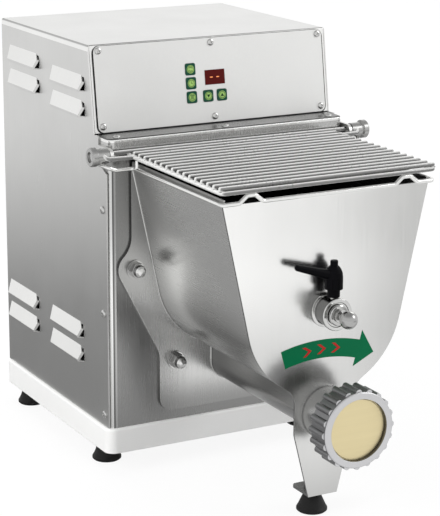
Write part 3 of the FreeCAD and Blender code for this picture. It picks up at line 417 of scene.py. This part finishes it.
def plain(name, colour, roughness, metallic=0.0, scale=700.0, depth=0.00002, shade=0.9, edge=0.0004,
          **sockets):
    """Moulded, painted or cast stuff with a fine skin."""
    made = new_material(name, colour, metallic, roughness, **sockets)
    skin = noise(made, scale, 3.0)
    clouds = spread(made, noise(made, SKIN_CLOUD_SCALE, 3.0), 0, 1)
    tint(made, clouds, [c * shade for c in colour], colour)
    rough = spread(made, skin, roughness * 0.9, roughness * 1.1)
    made.node_tree.links.new(rough, main_shader(made).inputs["Roughness"])
    relief(made, skin, depth, edge)
    return made


def printed(name, colour, roughness=0.35, specular=0.2):
    """Ink or film on a flat face."""
    return plain(name, colour, roughness, depth=0.000002, edge=0.0, Specular_IOR_Level=specular)


def glowing(name, colour, strength):
    """A lit segment behind a window."""
    made = new_material(name, colour, 0.0, 0.3)
    level = spread(made, noise(made, 900.0), strength * 0.9, strength)
    shader = main_shader(made)
    shader.inputs["Emission Color"].default_value = (*colour, 1)
    made.node_tree.links.new(level, shader.inputs["Emission Strength"])
    return made


# The front wall's brightness, kept low as painted shade, the heights between which painted shade darkens it
# with what is left there, and the painted bright and dark lines beside its corners as middle, width and
# brightness
WALL_PAINTED_LEVEL = 0.36
WALL_PAINTED_FADE = (170.0, 270.0, 0.65)
WALL_PAINTED_LINES = [(128.7, 2.2, 0.42), (126.2, 2.4, 0.95), (124.2, 1.0, 0.13), (122.2, 1.2, 0.5)]

# The ledge's front face from its foot to its head, its lip with a painted highlight and its top in painted
# shade
LEDGE_FACE = (306.0, 329.0)
LEDGE_FACE_PAINTED_LEVELS = (0.24, 0.55)
LEDGE_LIP = 3.5
LEDGE_LIP_PAINTED_HIGHLIGHT = 0.85
LEDGE_TOP_PAINTED_SHADE = 0.14


def either(material, mask, low, high):
    """One value where a mask is nought and another where it is one."""
    return add_node(material, "ShaderNodeMix", {"Factor": mask, 2: low, 3: high}).outputs[0]


def wall_steel_painted_light():
    """The front wall, with painted shade and the painted bright and dark lines of its rounded corners and
    ledge.
    """
    made = steel("wall_steel_painted_light", grey(1.0), 0.25, VERTICAL, edge=0.0004, depth=FAINT_DEPTH, streaks=0.015)
    x, _, z = object_place(made)
    half = math_node(made, "ABSOLUTE", x)
    wall = WALL_PAINTED_LEVEL
    # Painted bright and dark lines beside the rounded corners
    for middle, width, line in WALL_PAINTED_LINES:
        away = math_node(made, "ABSOLUTE", math_node(made, "SUBTRACT", half, middle * MM))
        mask = soft_step(made, away, (width / 2 + 0.4) * MM, (width / 2 - 0.3) * MM)
        wall = either(made, mask, wall, line)
    # Painted shade, darker towards the top
    low, high, left = WALL_PAINTED_FADE
    wall = math_node(made, "MULTIPLY", wall, soft_step(made, z, low * MM, high * MM, 1.0, left))
    # Painted light on the ledge: shade on its face and top, a highlight on its lip
    foot, head = LEDGE_FACE
    face = soft_step(made, z, foot * MM, head * MM, *LEDGE_FACE_PAINTED_LEVELS)
    lip = math_node(made, "GREATER_THAN", z, (LEDGE_Z - LEDGE_LIP) * MM)
    face = either(made, lip, face, LEDGE_LIP_PAINTED_HIGHLIGHT)
    top = math_node(made, "GREATER_THAN", object_tilt(made)[2], 0.5)
    ledge = either(made, top, face, LEDGE_TOP_PAINTED_SHADE)
    above = math_node(made, "GREATER_THAN", z, TANK_RIM_Z * MM)
    darken(made, math_node(made, "SUBTRACT", 1.0, either(made, above, wall, ledge)), 1.0)
    return made


def make_materials():
    """Every finish, by name."""
    made = [
        plain("white_paint", (0.92, 0.92, 0.91), 0.35, depth=0.00001, shade=0.98, edge=0.001),
        plain("black_rubber", (0.008, 0.008, 0.008), 0.5, depth=0.00003, Specular_IOR_Level=0.25),
        plain("black_plastic", (0.004, 0.004, 0.005), 0.4, depth=0.00003, Specular_IOR_Level=0.03),
        plain("grey_plastic", (0.2, 0.2, 0.22), 0.45),
        plain("board_green", (0.02, 0.12, 0.04), 0.4),
        plain("key_green", (0.004, 0.075, 0.04), 0.3, edge=0.0003, Specular_IOR_Level=0.25),
        plain("display_red", (0.11, 0.004, 0.003), 0.12, scale=200.0, depth=0.000002,
              Specular_IOR_Level=0.12),
        plain("cast_aluminium", (0.5, 0.5, 0.5), 0.5, 1.0, 400.0, 0.00008),
        plain("nut_aluminium", (0.6, 0.6, 0.61), 0.4, 1.0, 900.0, 0.00005, edge=0.0006),
        steel("brushed_steel", grey(0.85), 0.32, VERTICAL),
        wall_steel_painted_light(),
        steel("control_plate_steel", grey(0.75), 0.5, scale=1600.0, edge=0.0004),
        # The fades below are painted shade on the tank, its flange, the barrel and the front plate
        steel("tank_steel", grey(0.85), 0.25, ALONG, depth=FAINT_DEPTH, streaks=0.015,
              painted_fades=[(1, -0.075, -0.015, 0.45), (2, 0.22, 0.15, 0.6)]),
        steel("flange_steel", grey(0.86), 0.25, VERTICAL, depth=FAINT_DEPTH, streaks=0.015, painted_shade_axis=1,
              painted_fades=[(2, 0.17, 0.25, 0.66), (2, 0.1, 0.06, 0.5)]),
        # The barrel's steel, darker than the tank's as painted shade, with painted shade towards the back
        steel("barrel_steel_painted_shade", grey(0.33), 0.25, ALONG, depth=FAINT_DEPTH, streaks=0.015,
              painted_fades=[(1, -0.11, -0.03, 0.65)]),
        steel("front_plate_steel", grey(0.98), 0.22, VERTICAL, edge=0.0005, painted_shade_axis=1,
              painted_fades=[(0, -0.01, 0.1, 0.2), (2, 0.25, 0.16, 0.3)]),
        steel("weld_steel", grey(0.6), 0.25, edge=0.0, scale=300.0),
        steel("zinc_steel", grey(0.6), 0.3),
        steel("screw_steel", grey(0.6), 0.2, edge=0.0003),
        steel("motor_steel", grey(0.45), 0.35),
        steel("bronze", (0.55, 0.36, 0.16), 0.35),
        steel("die_brass", (0.73, 0.63, 0.38), 0.4, ACROSS, streaks=0.08),
        steel("chrome_parts", grey(0.5), 0.1, edge=0.0005, scale=400.0, depth=0.000001),
        # Chromes with painted shade on their sides
        steel("chrome_painted_dark_sides", grey(0.62), 0.12, edge=0.0005, scale=400.0, painted_shade_axis=1),
        steel("nut_chrome", grey(0.7), 0.08, edge=0.0004, scale=400.0, painted_shade_axis=1),
        steel("knob_chrome", grey(0.4), 0.14, edge=0.0005, scale=400.0),
        steel("guard_wire", grey(0.82), 0.14, edge=0.0, scale=500.0, depth=0.000001),
        steel("guard_boss", grey(0.42), 0.24, edge=0.0004),
        steel("lid_wire", grey(0.86), 0.3, edge=0.0, scale=500.0, metallic=0.5),
        printed("arrow_green", (0.003, 0.19, 0.075), 0.4, 0.08),
        printed("arrow_red", (0.6, 0.02, 0.015)),
        printed("key_light", (0.45, 0.72, 0.2)),
        printed("key_dark", (0.01, 0.05, 0.02)),
        glowing("digit_glow", (1.0, 0.33, 0.1), 0.55),
    ]
    named = {material.name.split(".")[0]: material for material in made}
    # Painted shade on the hood, the nut, the lid's wires, the front plate, the flange and the tank
    paint_shade_on_uprights(named["brushed_steel"], share=0.27)
    paint_shade_on_bends(named["brushed_steel"], share=0.5)
    paint_shade_on_flanks(named["nut_aluminium"], least=0.7, share=0.6)
    paint_shade_on_fronts(named["lid_wire"], share=0.75)
    paint_shade_behind(named["front_plate_steel"])
    paint_shade_inside(named["flange_steel"])
    paint_shade_inward(named["tank_steel"])
    return named


# Carried-over nodes whose finish isn't simply that of their slot
NODE_MATERIALS = {
    "front_panel": "wall_steel_painted_light",
    "tank_back_plate": "flange_steel",
    "extruder_barrel": "barrel_steel_painted_shade",
    "shaft_collar": "chrome_painted_dark_sides",
    "cap_nuts": "nut_chrome",
    "ball_knob": "knob_chrome",
}


def dress_nodes(materials):
    """Every carried-over node takes the material of its slot, or one of its own."""
    for row in frame["record"]["subparts"]:
        piece = frame["nodes"][row["node"]]
        piece.data.materials.clear()
        piece.data.materials.append(materials[NODE_MATERIALS.get(row["node"], row["material_slot"])])


# Camera, as fitted to the photograph
PHOTO_SIZE = (440, 516)
SIGHT_PIXEL = (185, 246)
FOCAL_PIXELS = 1897.0
SENSOR = 36.0
CAMERA_PLACE = (-865.6, -1566.5, 684.3)
CAMERA_YAW = 27.56
CAMERA_PITCH = 14.68


def make_camera():
    """The camera at the photograph's viewing angle."""
    wide, tall = PHOTO_SIZE
    data = bpy.data.cameras.new("camera")
    data.sensor_width = SENSOR
    data.lens = FOCAL_PIXELS / tall * SENSOR
    data.shift_x = (wide / 2 - SIGHT_PIXEL[0]) / tall
    data.shift_y = (SIGHT_PIXEL[1] - tall / 2) / tall
    data.clip_start = 0.05
    data.clip_end = 60
    camera = bpy.data.objects.new("camera", data)
    camera.location = at(*CAMERA_PLACE)
    camera.rotation_euler = (math.pi / 2 - math.radians(CAMERA_PITCH), 0, -math.radians(CAMERA_YAW))
    bpy.context.collection.objects.link(camera)
    bpy.context.scene.camera = camera


# Light from all round: its strength at the horizon and higher up, and what metal shows instead, with the
# heights and the level of its dimmer part overhead
WORLD_HORIZON = 0.45
WORLD_ZENITH = 0.6
WORLD_RISE = 0.7
WORLD_IN_METAL = 1.0
WORLD_OVERHEAD = (0.5, 0.9)
WORLD_OVERHEAD_LEVEL = 0.5

# Floor, in metres: how white it is where it is seen and in metal, and the painted shadows that metal shows
# behind and beside the object, as middle, reach and brightness
FLOOR_REACH = 12.0
FLOOR_COLOUR = (0.7, 0.7, 0.7)
FLOOR_ROUGHNESS = 0.8
FLOOR_SEEN = 0.85
FLOOR_SEEN_LEVEL = 1.06
FLOOR_IN_METAL = 0.97
FLOOR_LEVEL = 1.1
FLOOR_FRONT = (-0.35, 0.05)
BACK_PAINTED_SHADOW = ((-0.2, 0.4, 0.0), (0.2, 1.3), 0.3)
SIDE_PAINTED_SHADOW = ((1.05, -1.0, 0.0), (0.15, 0.8), 0.3)

# Lamps, as place, width in metres, power, and whether metal shows them
LAMP_TARGET = (0, 0, 200)
LAMPS = {
    "key_lamp": ((2300, -1500, 1900), 1.6, 22, True),
    "left_lamp": ((-2300, -500, 1500), 1.6, 40, False),
    "top_lamp": ((0, 200, 2600), 2.2, 22, False),
}


def seen_share(material, camera, glossy):
    """A value that differs for light that goes straight to the viewer and light seen in metal or glass."""
    path = add_node(material, "ShaderNodeLightPath").outputs
    weights = {"Is Camera Ray": camera, "Is Glossy Ray": glossy, "Is Transmission Ray": glossy}
    total = 0.0
    for socket, weight in weights.items():
        total = add_node(material, "ShaderNodeMath", {0: path[socket], 1: weight, 2: total},
                         operation="MULTIPLY_ADD").outputs[0]
    return total


def make_world():
    """A studio: white where it is seen, and in metal white round the horizon and dimmer overhead."""
    world = bpy.data.worlds.new("studio")
    bpy.context.scene.world = world
    world.use_nodes = True
    background = world.node_tree.nodes["Background"]
    place = add_node(world, "ShaderNodeTexCoord")
    height = add_node(world, "ShaderNodeSeparateXYZ", {0: place.outputs["Generated"]}).outputs["Z"]
    plain_level = ramp(world, height, 0.0, WORLD_RISE, WORLD_HORIZON, WORLD_ZENITH)
    metal_level = ramp(world, height, *WORLD_OVERHEAD, WORLD_IN_METAL, WORLD_OVERHEAD_LEVEL)
    level = either(world, seen_share(world, 0.0, 1.0), plain_level, metal_level)
    strength = math_node(world, "MAXIMUM", level, seen_share(world, 1.0, 0.0))
    world.node_tree.links.new(strength, background.inputs["Strength"])
    background.inputs["Color"].default_value = (1, 1, 1, 1)


def shade_round(material, shade, full):
    """Painted shadow: brightness that rises to its full level away from a dark place."""
    middle, reach, level = shade
    place = add_node(material, "ShaderNodeTexCoord")
    away = add_node(material, "ShaderNodeVectorMath", {0: place.outputs["Object"], 1: middle},
                    operation="DISTANCE")
    return ramp(material, away.outputs["Value"], *reach, level, full)


def make_floor():
    """A plain pale floor: white where it is seen, but for the object's soft shadow, with painted shadows in
    metal.
    """
    mesh = bpy.data.meshes.new("floor")
    corners = [(-1, -1), (1, -1), (1, 1), (-1, 1)]
    mesh.from_pydata([(x * FLOOR_REACH, y * FLOOR_REACH, 0) for x, y in corners], [], [(0, 1, 2, 3)])
    floor = bpy.data.objects.new("floor", mesh)
    bpy.context.collection.objects.link(floor)
    made = new_material("pale_floor", FLOOR_COLOUR, 0.0, FLOOR_ROUGHNESS)
    # Painted shadows behind and beside the object, which only metal shows
    behind = shade_round(made, BACK_PAINTED_SHADOW, FLOOR_LEVEL)
    ahead = ramp(made, object_place(made)[1], *FLOOR_FRONT, FLOOR_LEVEL, 0.0)
    beside = shade_round(made, SIDE_PAINTED_SHADOW, 1.0)
    level = math_node(made, "MULTIPLY", math_node(made, "MAXIMUM", behind, ahead), beside)
    bright = math_node(made, "MAXIMUM", level, seen_share(made, FLOOR_SEEN_LEVEL, 0.0))
    white = add_node(made, "ShaderNodeEmission", {"Color": (1, 1, 1, 1), "Strength": bright})
    mix = add_node(made, "ShaderNodeMixShader", {0: seen_share(made, FLOOR_SEEN, FLOOR_IN_METAL),
                                                 1: main_shader(made).outputs[0], 2: white.outputs[0]})
    made.node_tree.links.new(mix.outputs[0], made.node_tree.nodes["Material Output"].inputs["Surface"])
    mesh.materials.append(made)


def make_lights():
    """Three soft round lamps."""
    target = at(*LAMP_TARGET)
    for name, (place, size, power, in_metal) in LAMPS.items():
        data = bpy.data.lights.new(name, "AREA")
        data.shape = "DISK"
        data.size = size
        data.energy = power
        lamp = bpy.data.objects.new(name, data)
        lamp.location = at(*place)
        lamp.rotation_euler = (target - at(*place)).to_track_quat("-Z", "Y").to_euler()
        lamp.visible_glossy = in_metal
        bpy.context.collection.objects.link(lamp)


# Ways to make a piece
def add_piece(name, shape, material, body, smooth=35):
    """A new piece from a bmesh, with its finish and the body that it moves with."""
    mesh = bpy.data.meshes.new(name)
    bmesh.ops.recalc_face_normals(shape, faces=shape.faces)
    shape.to_mesh(mesh)
    shape.free()
    mesh.materials.append(material)
    piece = bpy.data.objects.new(name, mesh)
    bpy.context.collection.objects.link(piece)
    mesh.shade_smooth()
    mesh.set_sharp_from_angle(angle=math.radians(smooth))
    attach(piece, body)
    return piece


def circle(radius, count=32, centre=(0.0, 0.0), start=0.0, turn=360.0):
    """Points round a circle or an arc of it."""
    whole = abs(turn) >= 360
    steps = count if whole else count + 1
    angles = [math.radians(start + turn * i / count) for i in range(steps)]
    return [(centre[0] + radius * math.cos(a), centre[1] + radius * math.sin(a)) for a in angles]


def loop_at(shape, place, outline, height):
    """Adds an outline's points at a height over the local plane."""
    return [shape.verts.new(place @ Vector((x, y, height))) for x, y in outline]


def bridge(shape, low, high):
    """Adds the faces between two loops with as many points."""
    for i, vertex in enumerate(low):
        j = (i + 1) % len(low)
        shape.faces.new((vertex, low[j], high[j], high[i]))


def add_plate(shape, outline, bottom, top, place):
    """Adds a flat piece: an outline in the local plane, between two heights."""
    low = loop_at(shape, place, outline, bottom)
    high = loop_at(shape, place, outline, top)
    shape.faces.new(high)
    shape.faces.new(list(reversed(low)))
    bridge(shape, low, high)


def add_band(shape, place, outer, inner, bottom, top):
    """Adds a flat band between two outlines with as many points."""
    edges = ((outer, bottom), (outer, top), (inner, top), (inner, bottom))
    loops = [loop_at(shape, place, outline, height) for outline, height in edges]
    for k, loop in enumerate(loops):
        bridge(shape, loop, loops[(k + 1) % len(loops)])


def lathe(shape, profile, place, count=24):
    """Adds a closed turned form. Its profile lists radius and height, and starts and ends on the axis."""
    rings = []
    for radius, height in profile:
        outline = circle(radius, count) if radius else [(0, 0)]
        rings.append(loop_at(shape, place, outline, height))
    for low, high in zip(rings, rings[1:]):
        for i in range(count):
            j = (i + 1) % count
            corners = [low[i % len(low)], low[j % len(low)], high[j % len(high)], high[i % len(high)]]
            corners = [v for k, v in enumerate(corners) if v not in corners[:k]]
            if len(corners) > 2:
                shape.faces.new(corners)


def sweep(shape, points, radii, count=8):
    """Adds a round rod along some points, with its own radius at each."""
    rings = []
    for i, point in enumerate(points):
        along = (points[min(i + 1, len(points) - 1)] - points[max(i - 1, 0)]).normalized()
        turn = along.to_track_quat("Z", "Y").to_matrix()
        outline = circle(radii[i], count)
        rings.append([shape.verts.new(point + turn @ Vector((x, y, 0))) for x, y in outline])
    for low, high in zip(rings, rings[1:]):
        bridge(shape, low, high)
    shape.faces.new(list(reversed(rings[0])))
    shape.faces.new(rings[-1])


def carved(shape, tool):
    """A form with another taken away."""
    made = []
    for form in (shape, tool):
        mesh = bpy.data.meshes.new("carving")
        bmesh.ops.recalc_face_normals(form, faces=form.faces)
        form.to_mesh(mesh)
        form.free()
        made.append(bpy.data.objects.new("carving", mesh))
        bpy.context.collection.objects.link(made[-1])
    step = made[0].modifiers.new("carve", "BOOLEAN")
    step.operation = "DIFFERENCE"
    step.solver = "EXACT"
    step.use_self = True
    step.object = made[1]
    bpy.context.view_layer.update()
    whole = made[0].evaluated_get(bpy.context.evaluated_depsgraph_get())
    result = bmesh.new()
    result.from_mesh(whole.to_mesh())
    for piece in made:
        mesh = piece.data
        bpy.data.objects.remove(piece)
        bpy.data.meshes.remove(mesh)
    return result


# Arrow on the tank
def polar(radius, angle):
    """A point of the arrow's plane, by its distance from the arcs' centre and its lean to the right."""
    a = math.radians(angle)
    return ARROW_CENTRE[0] + radius * math.sin(a), ARROW_CENTRE[1] + radius * math.cos(a)


def chevron(angle):
    """A bent stroke that points along the arrow."""
    low, high = ARROW_BAND[0] + CHEVRON_MARGIN, ARROW_BAND[1] - CHEVRON_MARGIN
    middle = (low + high) / 2
    tip, back = angle + CHEVRON_POINT, angle + CHEVRON_THICK
    return [polar(low, angle), polar(middle, tip), polar(high, angle),
            polar(high, back), polar(middle, tip + CHEVRON_THICK), polar(low, back)]


def arrow_sticker(materials):
    """A bent arrow that shows which way the mixer turns, with plain chevrons."""
    steps = 16
    turn = ARROW_NECK_ANGLE - ARROW_TAIL_ANGLE
    angles = [ARROW_TAIL_ANGLE + turn * i / steps for i in range(steps + 1)]
    outline = [polar(ARROW_BAND[0], a) for a in angles]
    outline += [polar(ARROW_HEAD[0], ARROW_NECK_ANGLE), polar(ARROW_TIP, ARROW_TIP_ANGLE),
                polar(ARROW_HEAD[1], ARROW_NECK_ANGLE)]
    outline += [polar(ARROW_BAND[1], a) for a in reversed(angles)]
    place = front_frame(0, TANK_FRONT, 0)
    shape = bmesh.new()
    add_plate(shape, outline, 0.0, ARROW_THICK, place)
    add_piece("arrow_sticker", shape, materials["arrow_green"], "machine")
    marks = bmesh.new()
    for angle in CHEVRON_ANGLES:
        add_plate(marks, chevron(angle), ARROW_THICK, CHEVRON_TOP, place)
    add_piece("arrow_marks", marks, materials["arrow_red"], "machine")


# Screws
def cross_recess(shape, place, radius, top, turn):
    """Adds the form of a cross driver's point: two tapered blades."""
    for angle in (turn, turn + 90):
        blade = place @ Matrix.Rotation(math.radians(angle), 4, "Z")
        long, wide, depth = radius * 0.55, radius * 0.13, top * 0.6
        low = [(-long * 0.5, -wide), (long * 0.5, -wide), (long * 0.5, wide), (-long * 0.5, wide)]
        high = [(-long, -wide), (long, -wide), (long, wide), (-long, wide)]
        bottom = loop_at(shape, blade, low, top - depth)
        lid = loop_at(shape, blade, high, top + 0.5)
        shape.faces.new(lid)
        shape.faces.new(list(reversed(bottom)))
        bridge(shape, bottom, lid)


def screws(group, places, size, materials):
    """Domed screws with a cross recess, in place of a group of plain ones."""
    radius, height, shank, length = size
    profile = [(0, -length), (shank, -length), (shank, 0), (radius, 0)]
    profile += [(radius * out, height * up) for out, up in SCREW_DOME] + [(0, height)]
    heads, tools = bmesh.new(), bmesh.new()
    for i, place in enumerate(places):
        lathe(heads, profile, place)
        cross_recess(tools, place, radius, height, SCREW_TURNS[i % len(SCREW_TURNS)])
    made = carved(heads, tools)
    piece = add_piece(group + "_screw_heads", made, materials["screw_steel"], "machine", 30)
    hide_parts(group + "_screws")


def all_screws(materials):
    """The screws of the control plate, the sides, the ledge, the back and the guard's brackets."""
    slope = slope_frame()
    plate = [slope @ Matrix.Translation((x, up, PLATE_GAUGE)) for x, up in PLATE_SCREW_PLACES]
    screws("plate", plate, PLATE_SCREW, materials)
    sides = [outward((side * HOUSING_HALF, y, z), (side, 0, 0))
             for side in (-1, 1) for y, z in SIDE_SCREW_PLACES]
    screws("side", sides, SIDE_SCREW, materials)
    ledge = [outward((x, y, LEDGE_Z), (0, 0, 1)) for x, y in LEDGE_SCREW_PLACES]
    screws("ledge", ledge, LEDGE_SCREW, materials)
    back = [outward((x, BACK_FACE, z), (0, 1, 0)) for x, z in BACK_SCREW_PLACES]
    screws("back", back, BACK_SCREW, materials)
    x, y, z = BRACKET_SCREW_PLACE
    brackets = [outward((side * x, y, z), (side, 0, 0)) for side in (-1, 1)]
    screws("bracket", brackets, BRACKET_SCREW, materials)


# Control plate
def stroke(points, width):
    """The outline of a stroke through some points."""
    left, right = [], []
    for i, point in enumerate(points):
        before = Vector(points[max(i - 1, 0)])
        after = Vector(points[min(i + 1, len(points) - 1)])
        along = (after - before).normalized()
        across = Vector((-along.y, along.x)) * width / 2
        left.append(tuple(Vector(point) + across))
        right.append(tuple(Vector(point) - across))
    return left + list(reversed(right))


def key_symbols():
    """A plain sign for each key, as outlines in millimetres from the key's middle."""
    arrow_down = [(0, -1.9), (1.9, 1.4), (-1.9, 1.4)]
    paddle = [stroke(circle(1.9, 8, (0, 0), a, 120), 0.6) for a in (20, 200)]
    hands = [stroke([(0, 2.0), (0, 0), (1.5, -0.4)], 0.5)]
    strands = [stroke([(x, 1.0), (x, -2.0)], 0.55) for x in (-1.1, 0, 1.1)]
    hopper = [(-2.0, 2.0), (-1.5, 1.2), (1.5, 1.2), (2.0, 2.0)]
    return {
        "key_mix": paddle,
        "key_timer": hands,
        "key_extrude": [hopper] + strands,
        "key_down": [arrow_down],
        "key_up": [[(x, -y) for x, y in arrow_down]],
    }


def keys(materials):
    """A light disc, a dark ring and a sign printed on each key."""
    slope = slope_frame()
    symbols = key_symbols()
    ring = [circle(KEY_RING + side * KEY_RING_WIDTH / 2, 40) for side in (1, -1)]
    for name, (x, up) in KEY_PLACES.items():
        place = slope @ Matrix.Translation((x, up, PLATE_GAUGE + KEY_PROUD))
        disc = bmesh.new()
        lathe(disc, [(0, 0), (KEY_DISC, 0), (KEY_DISC, DISC_TOP), (0, DISC_TOP)], place, 40)
        add_piece(name + "_disc", disc, materials["key_light"], name)
        marks = bmesh.new()
        add_band(marks, place, *ring, DISC_TOP, RING_TOP)
        for outline in symbols[name]:
            add_plate(marks, outline, DISC_TOP, SIGN_TOP, place)
        add_piece(name + "_sign", marks, materials["key_dark"], name)


def display(materials):
    """Two lit dashes on the display's window."""
    x, up = DISPLAY_PLACE
    place = slope_frame() @ Matrix.Translation((x, up, PLATE_GAUGE + DISPLAY_TOP))
    wide, tall = DASH_SIZE
    dashes = bmesh.new()
    for left in DASH_LEFTS:
        outline = [(left, -tall / 2), (left + wide, -tall / 2), (left + wide, tall / 2), (left, tall / 2)]
        add_plate(dashes, outline, 0.0, DASH_THICK, place)
    add_piece("display_dashes", dashes, materials["digit_glow"], "machine")


def corner_loop(half, low, high, corner):
    """A rectangle with round corners, on the plate's plane."""
    loop = []
    for x, y, start in ((half, high, 0), (-half, high, 90), (-half, low, 180), (half, low, 270)):
        centre = (x - math.copysign(corner, x), y - (corner if y == high else -corner))
        loop += circle(corner, 6, centre, start, 90)
    return loop


def plate_shadow_seal(materials):
    """A dark seal that paints the shadow in the gap round the control plate."""
    half, low, high, corner = PLATE_OUTLINE
    outer = corner_loop(half + SHADOW_SEAL_SHOW, low - SHADOW_SEAL_SHOW, high + SHADOW_SEAL_SHOW_TOP, corner + SHADOW_SEAL_SHOW)
    inner = corner_loop(half - SHADOW_SEAL_LAP, low + SHADOW_SEAL_LAP, high - SHADOW_SEAL_LAP, corner)
    shape = bmesh.new()
    add_band(shape, slope_frame(), outer, inner, 0.0, SHADOW_SEAL_THICK)
    add_piece("plate_shadow_seal", shape, materials["black_rubber"], "machine")


# Tank
def even(points, step):
    """Points at even steps along a line of straight runs."""
    result = [points[0].copy()]
    left = step
    for start, end in zip(points, points[1:]):
        run = end - start
        place = left
        while place <= run.length:
            result.append(start + run * (place / run.length))
            place += step
        left = place - run.length
    return result


def tank_section(grow):
    """The outside of the tank and its barrel seen from the front, from rim to rim."""
    rise = TANK_RIM_Z - MIXER_Z
    radius = TROUGH_RADIUS + grow
    half_top = TANK_HALF + grow
    touch = math.atan2(rise, half_top) - math.acos(radius / math.hypot(half_top, rise))
    barrel = BARREL_RADIUS + grow
    meet = -math.acos(barrel / radius)
    steps = 24
    trough_arc = [touch + (meet - touch) * i / steps for i in range(steps + 1)]
    barrel_arc = [-math.pi / 2 * i / steps for i in range(steps + 1)]
    right = [(half_top, TANK_RIM_Z)]
    right += [(radius * math.cos(a), MIXER_Z + radius * math.sin(a)) for a in trough_arc]
    right += [(barrel * math.cos(a), AUGER_Z + barrel * math.sin(a)) for a in barrel_arc]
    left = [(-x, z) for x, z in reversed(right[:-1])]
    return right + left


def tank_weld(materials):
    """The rippled bead that joins the tank and the barrel to their flange."""
    path = even([at(x, BEAD_Y, z) for x, z in tank_section(BEAD_OUT)], BEAD_STEP * MM)
    radii = [(BEAD_RADIUS + BEAD_RIPPLE * math.cos(math.pi * i)) * MM for i in range(len(path))]
    shape = bmesh.new()
    sweep(shape, path, radii)
    add_piece("tank_weld", shape, materials["weld_steel"], "machine", 60)


def tank_hem(materials):
    """The folded edge along each side of the tank's mouth."""
    shape = bmesh.new()
    for side in (-1, 1):
        outer, inner = side * TANK_HALF, side * (TANK_HALF - HEM_THICK)
        foot, shoulder = TANK_RIM_Z - HEM_LAP, HEM_TOP - HEM_CHAMFER
        section = [(inner, foot), (outer, foot), (outer, shoulder), ((inner + outer) / 2, HEM_TOP),
                   (inner, shoulder)]
        back, front = [[shape.verts.new(at(x, y, z)) for x, z in section] for y in (TANK_BACK, TANK_FRONT)]
        shape.faces.new(back)
        shape.faces.new(list(reversed(front)))
        bridge(shape, back, front)
    add_piece("tank_hem", shape, materials["zinc_steel"], "machine")


# Guard
def rounded(points, radius, steps=6):
    """A line of straight runs with its corners rounded."""
    result = [points[0]]
    for before, corner, after in zip(points, points[1:], points[2:]):
        back, ahead = (before - corner).normalized(), (after - corner).normalized()
        half_angle = back.angle(ahead) / 2
        reach = radius / math.tan(half_angle)
        centre = corner + (back + ahead).normalized() * (radius / math.sin(half_angle))
        start = (corner + back * reach - centre).normalized()
        end = (corner + ahead * reach - centre).normalized()
        result += [centre + start.slerp(end, i / steps) * radius for i in range(steps + 1)]
    return result + [points[-1]]


def wire_rod(shape, points):
    """Adds a round wire with softened ends."""
    radius = WIRE * MM
    soft = radius * WIRE_END / 2
    first, last = (points[1] - points[0]).normalized(), (points[-1] - points[-2]).normalized()
    path = [points[0], points[0] + first * soft] + points[1:-1] + [points[-1] - last * soft, points[-1]]
    ends = [radius * WIRE_END]
    sweep(shape, path, ends + [radius] * (len(path) - 2) + ends, 16)


def guard_lid(materials):
    """The guard's lid: cross wires welded on a bent frame, with an arm to each spool."""
    shape = bmesh.new()
    x, z = FRAME_HALF, FRAME_Z
    back, front = FRAME_YS
    corners = [at(-x, back, z), at(-x, front, z), at(x, front, z), at(x, back, z)]
    wire_rod(shape, rounded(corners, FRAME_CORNER * MM))
    for side in (-1, 1):
        arm = [at(side * ax, ay, az) for ax, ay, az in GUARD_ARM]
        wire_rod(shape, rounded(arm, ARM_CORNER * MM))
    for i in range(GRID_COUNT):
        half = GRID_HALF if i else GRID_FIRST_HALF
        row = GRID_FIRST_Y - i * GRID_PITCH
        top = z + 2 * WIRE - WELD_SINK
        wire_rod(shape, [at(-half, row, top), at(half, row, top)])
        for side in (-1, 1):
            lathe(shape, WELD_NUGGET, outward((side * x, row, z + WIRE - WELD_SINK), (0, 0, 1)), 12)
    piece = add_piece("guard_lid", shape, materials["lid_wire"], "guard", 40)
    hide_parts("guard_grid")


# Front foot
def thread(shape, place, radius, pitch, low, high, count=24):
    """Adds a threaded rod: a helical ridge round a closed core."""
    rows_a_turn = 6
    rows = int((high - low) / pitch * rows_a_turn)
    depth = pitch * 0.5
    grid = []
    for row in range(rows + 1):
        height = low + (high - low) * row / rows
        loop = []
        for i in range(count):
            phase = (height / pitch - i / count) % 1.0
            r = radius - depth * abs(2 * phase - 1)
            a = 2 * math.pi * i / count
            loop.append(shape.verts.new(place @ Vector((r * math.cos(a), r * math.sin(a), height))))
        grid.append(loop)
    for lower, upper in zip(grid, grid[1:]):
        bridge(shape, lower, upper)
    shape.faces.new(list(reversed(grid[0])))
    shape.faces.new(grid[-1])


def front_stud(materials):
    """The front foot's threaded stud with its disc."""
    low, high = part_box("front_foot_stud")
    place = Matrix.Translation(at(*FRONT_FOOT, 0)) @ Matrix.Scale(MM, 4)
    shape = bmesh.new()
    thread(shape, place, STUD_RADIUS, STUD_PITCH, low.z / MM, high.z / MM)
    radius, thick, chamfer = STUD_DISC
    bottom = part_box("front_foot")[1].z / MM
    top = bottom + thick
    half = [(0, bottom), (radius - chamfer, bottom), (radius, bottom + chamfer)]
    lathe(shape, half + [(radius, top - chamfer), (radius - chamfer, top), (0, top)], place)
    piece = add_piece("front_stud_thread", shape, materials["chrome_parts"], "machine", 30)
    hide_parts("front_foot_stud")


make_camera()
make_world()
make_floor()
make_lights()
finishes = make_materials()
dress_nodes(finishes)
for make_pieces in (arrow_sticker, all_screws, keys, display, tank_weld, guard_lid, tank_hem, plate_shadow_seal,
                    front_stud):
    make_pieces(finishes)

bpy.context.scene.view_settings.view_transform = "Standard"
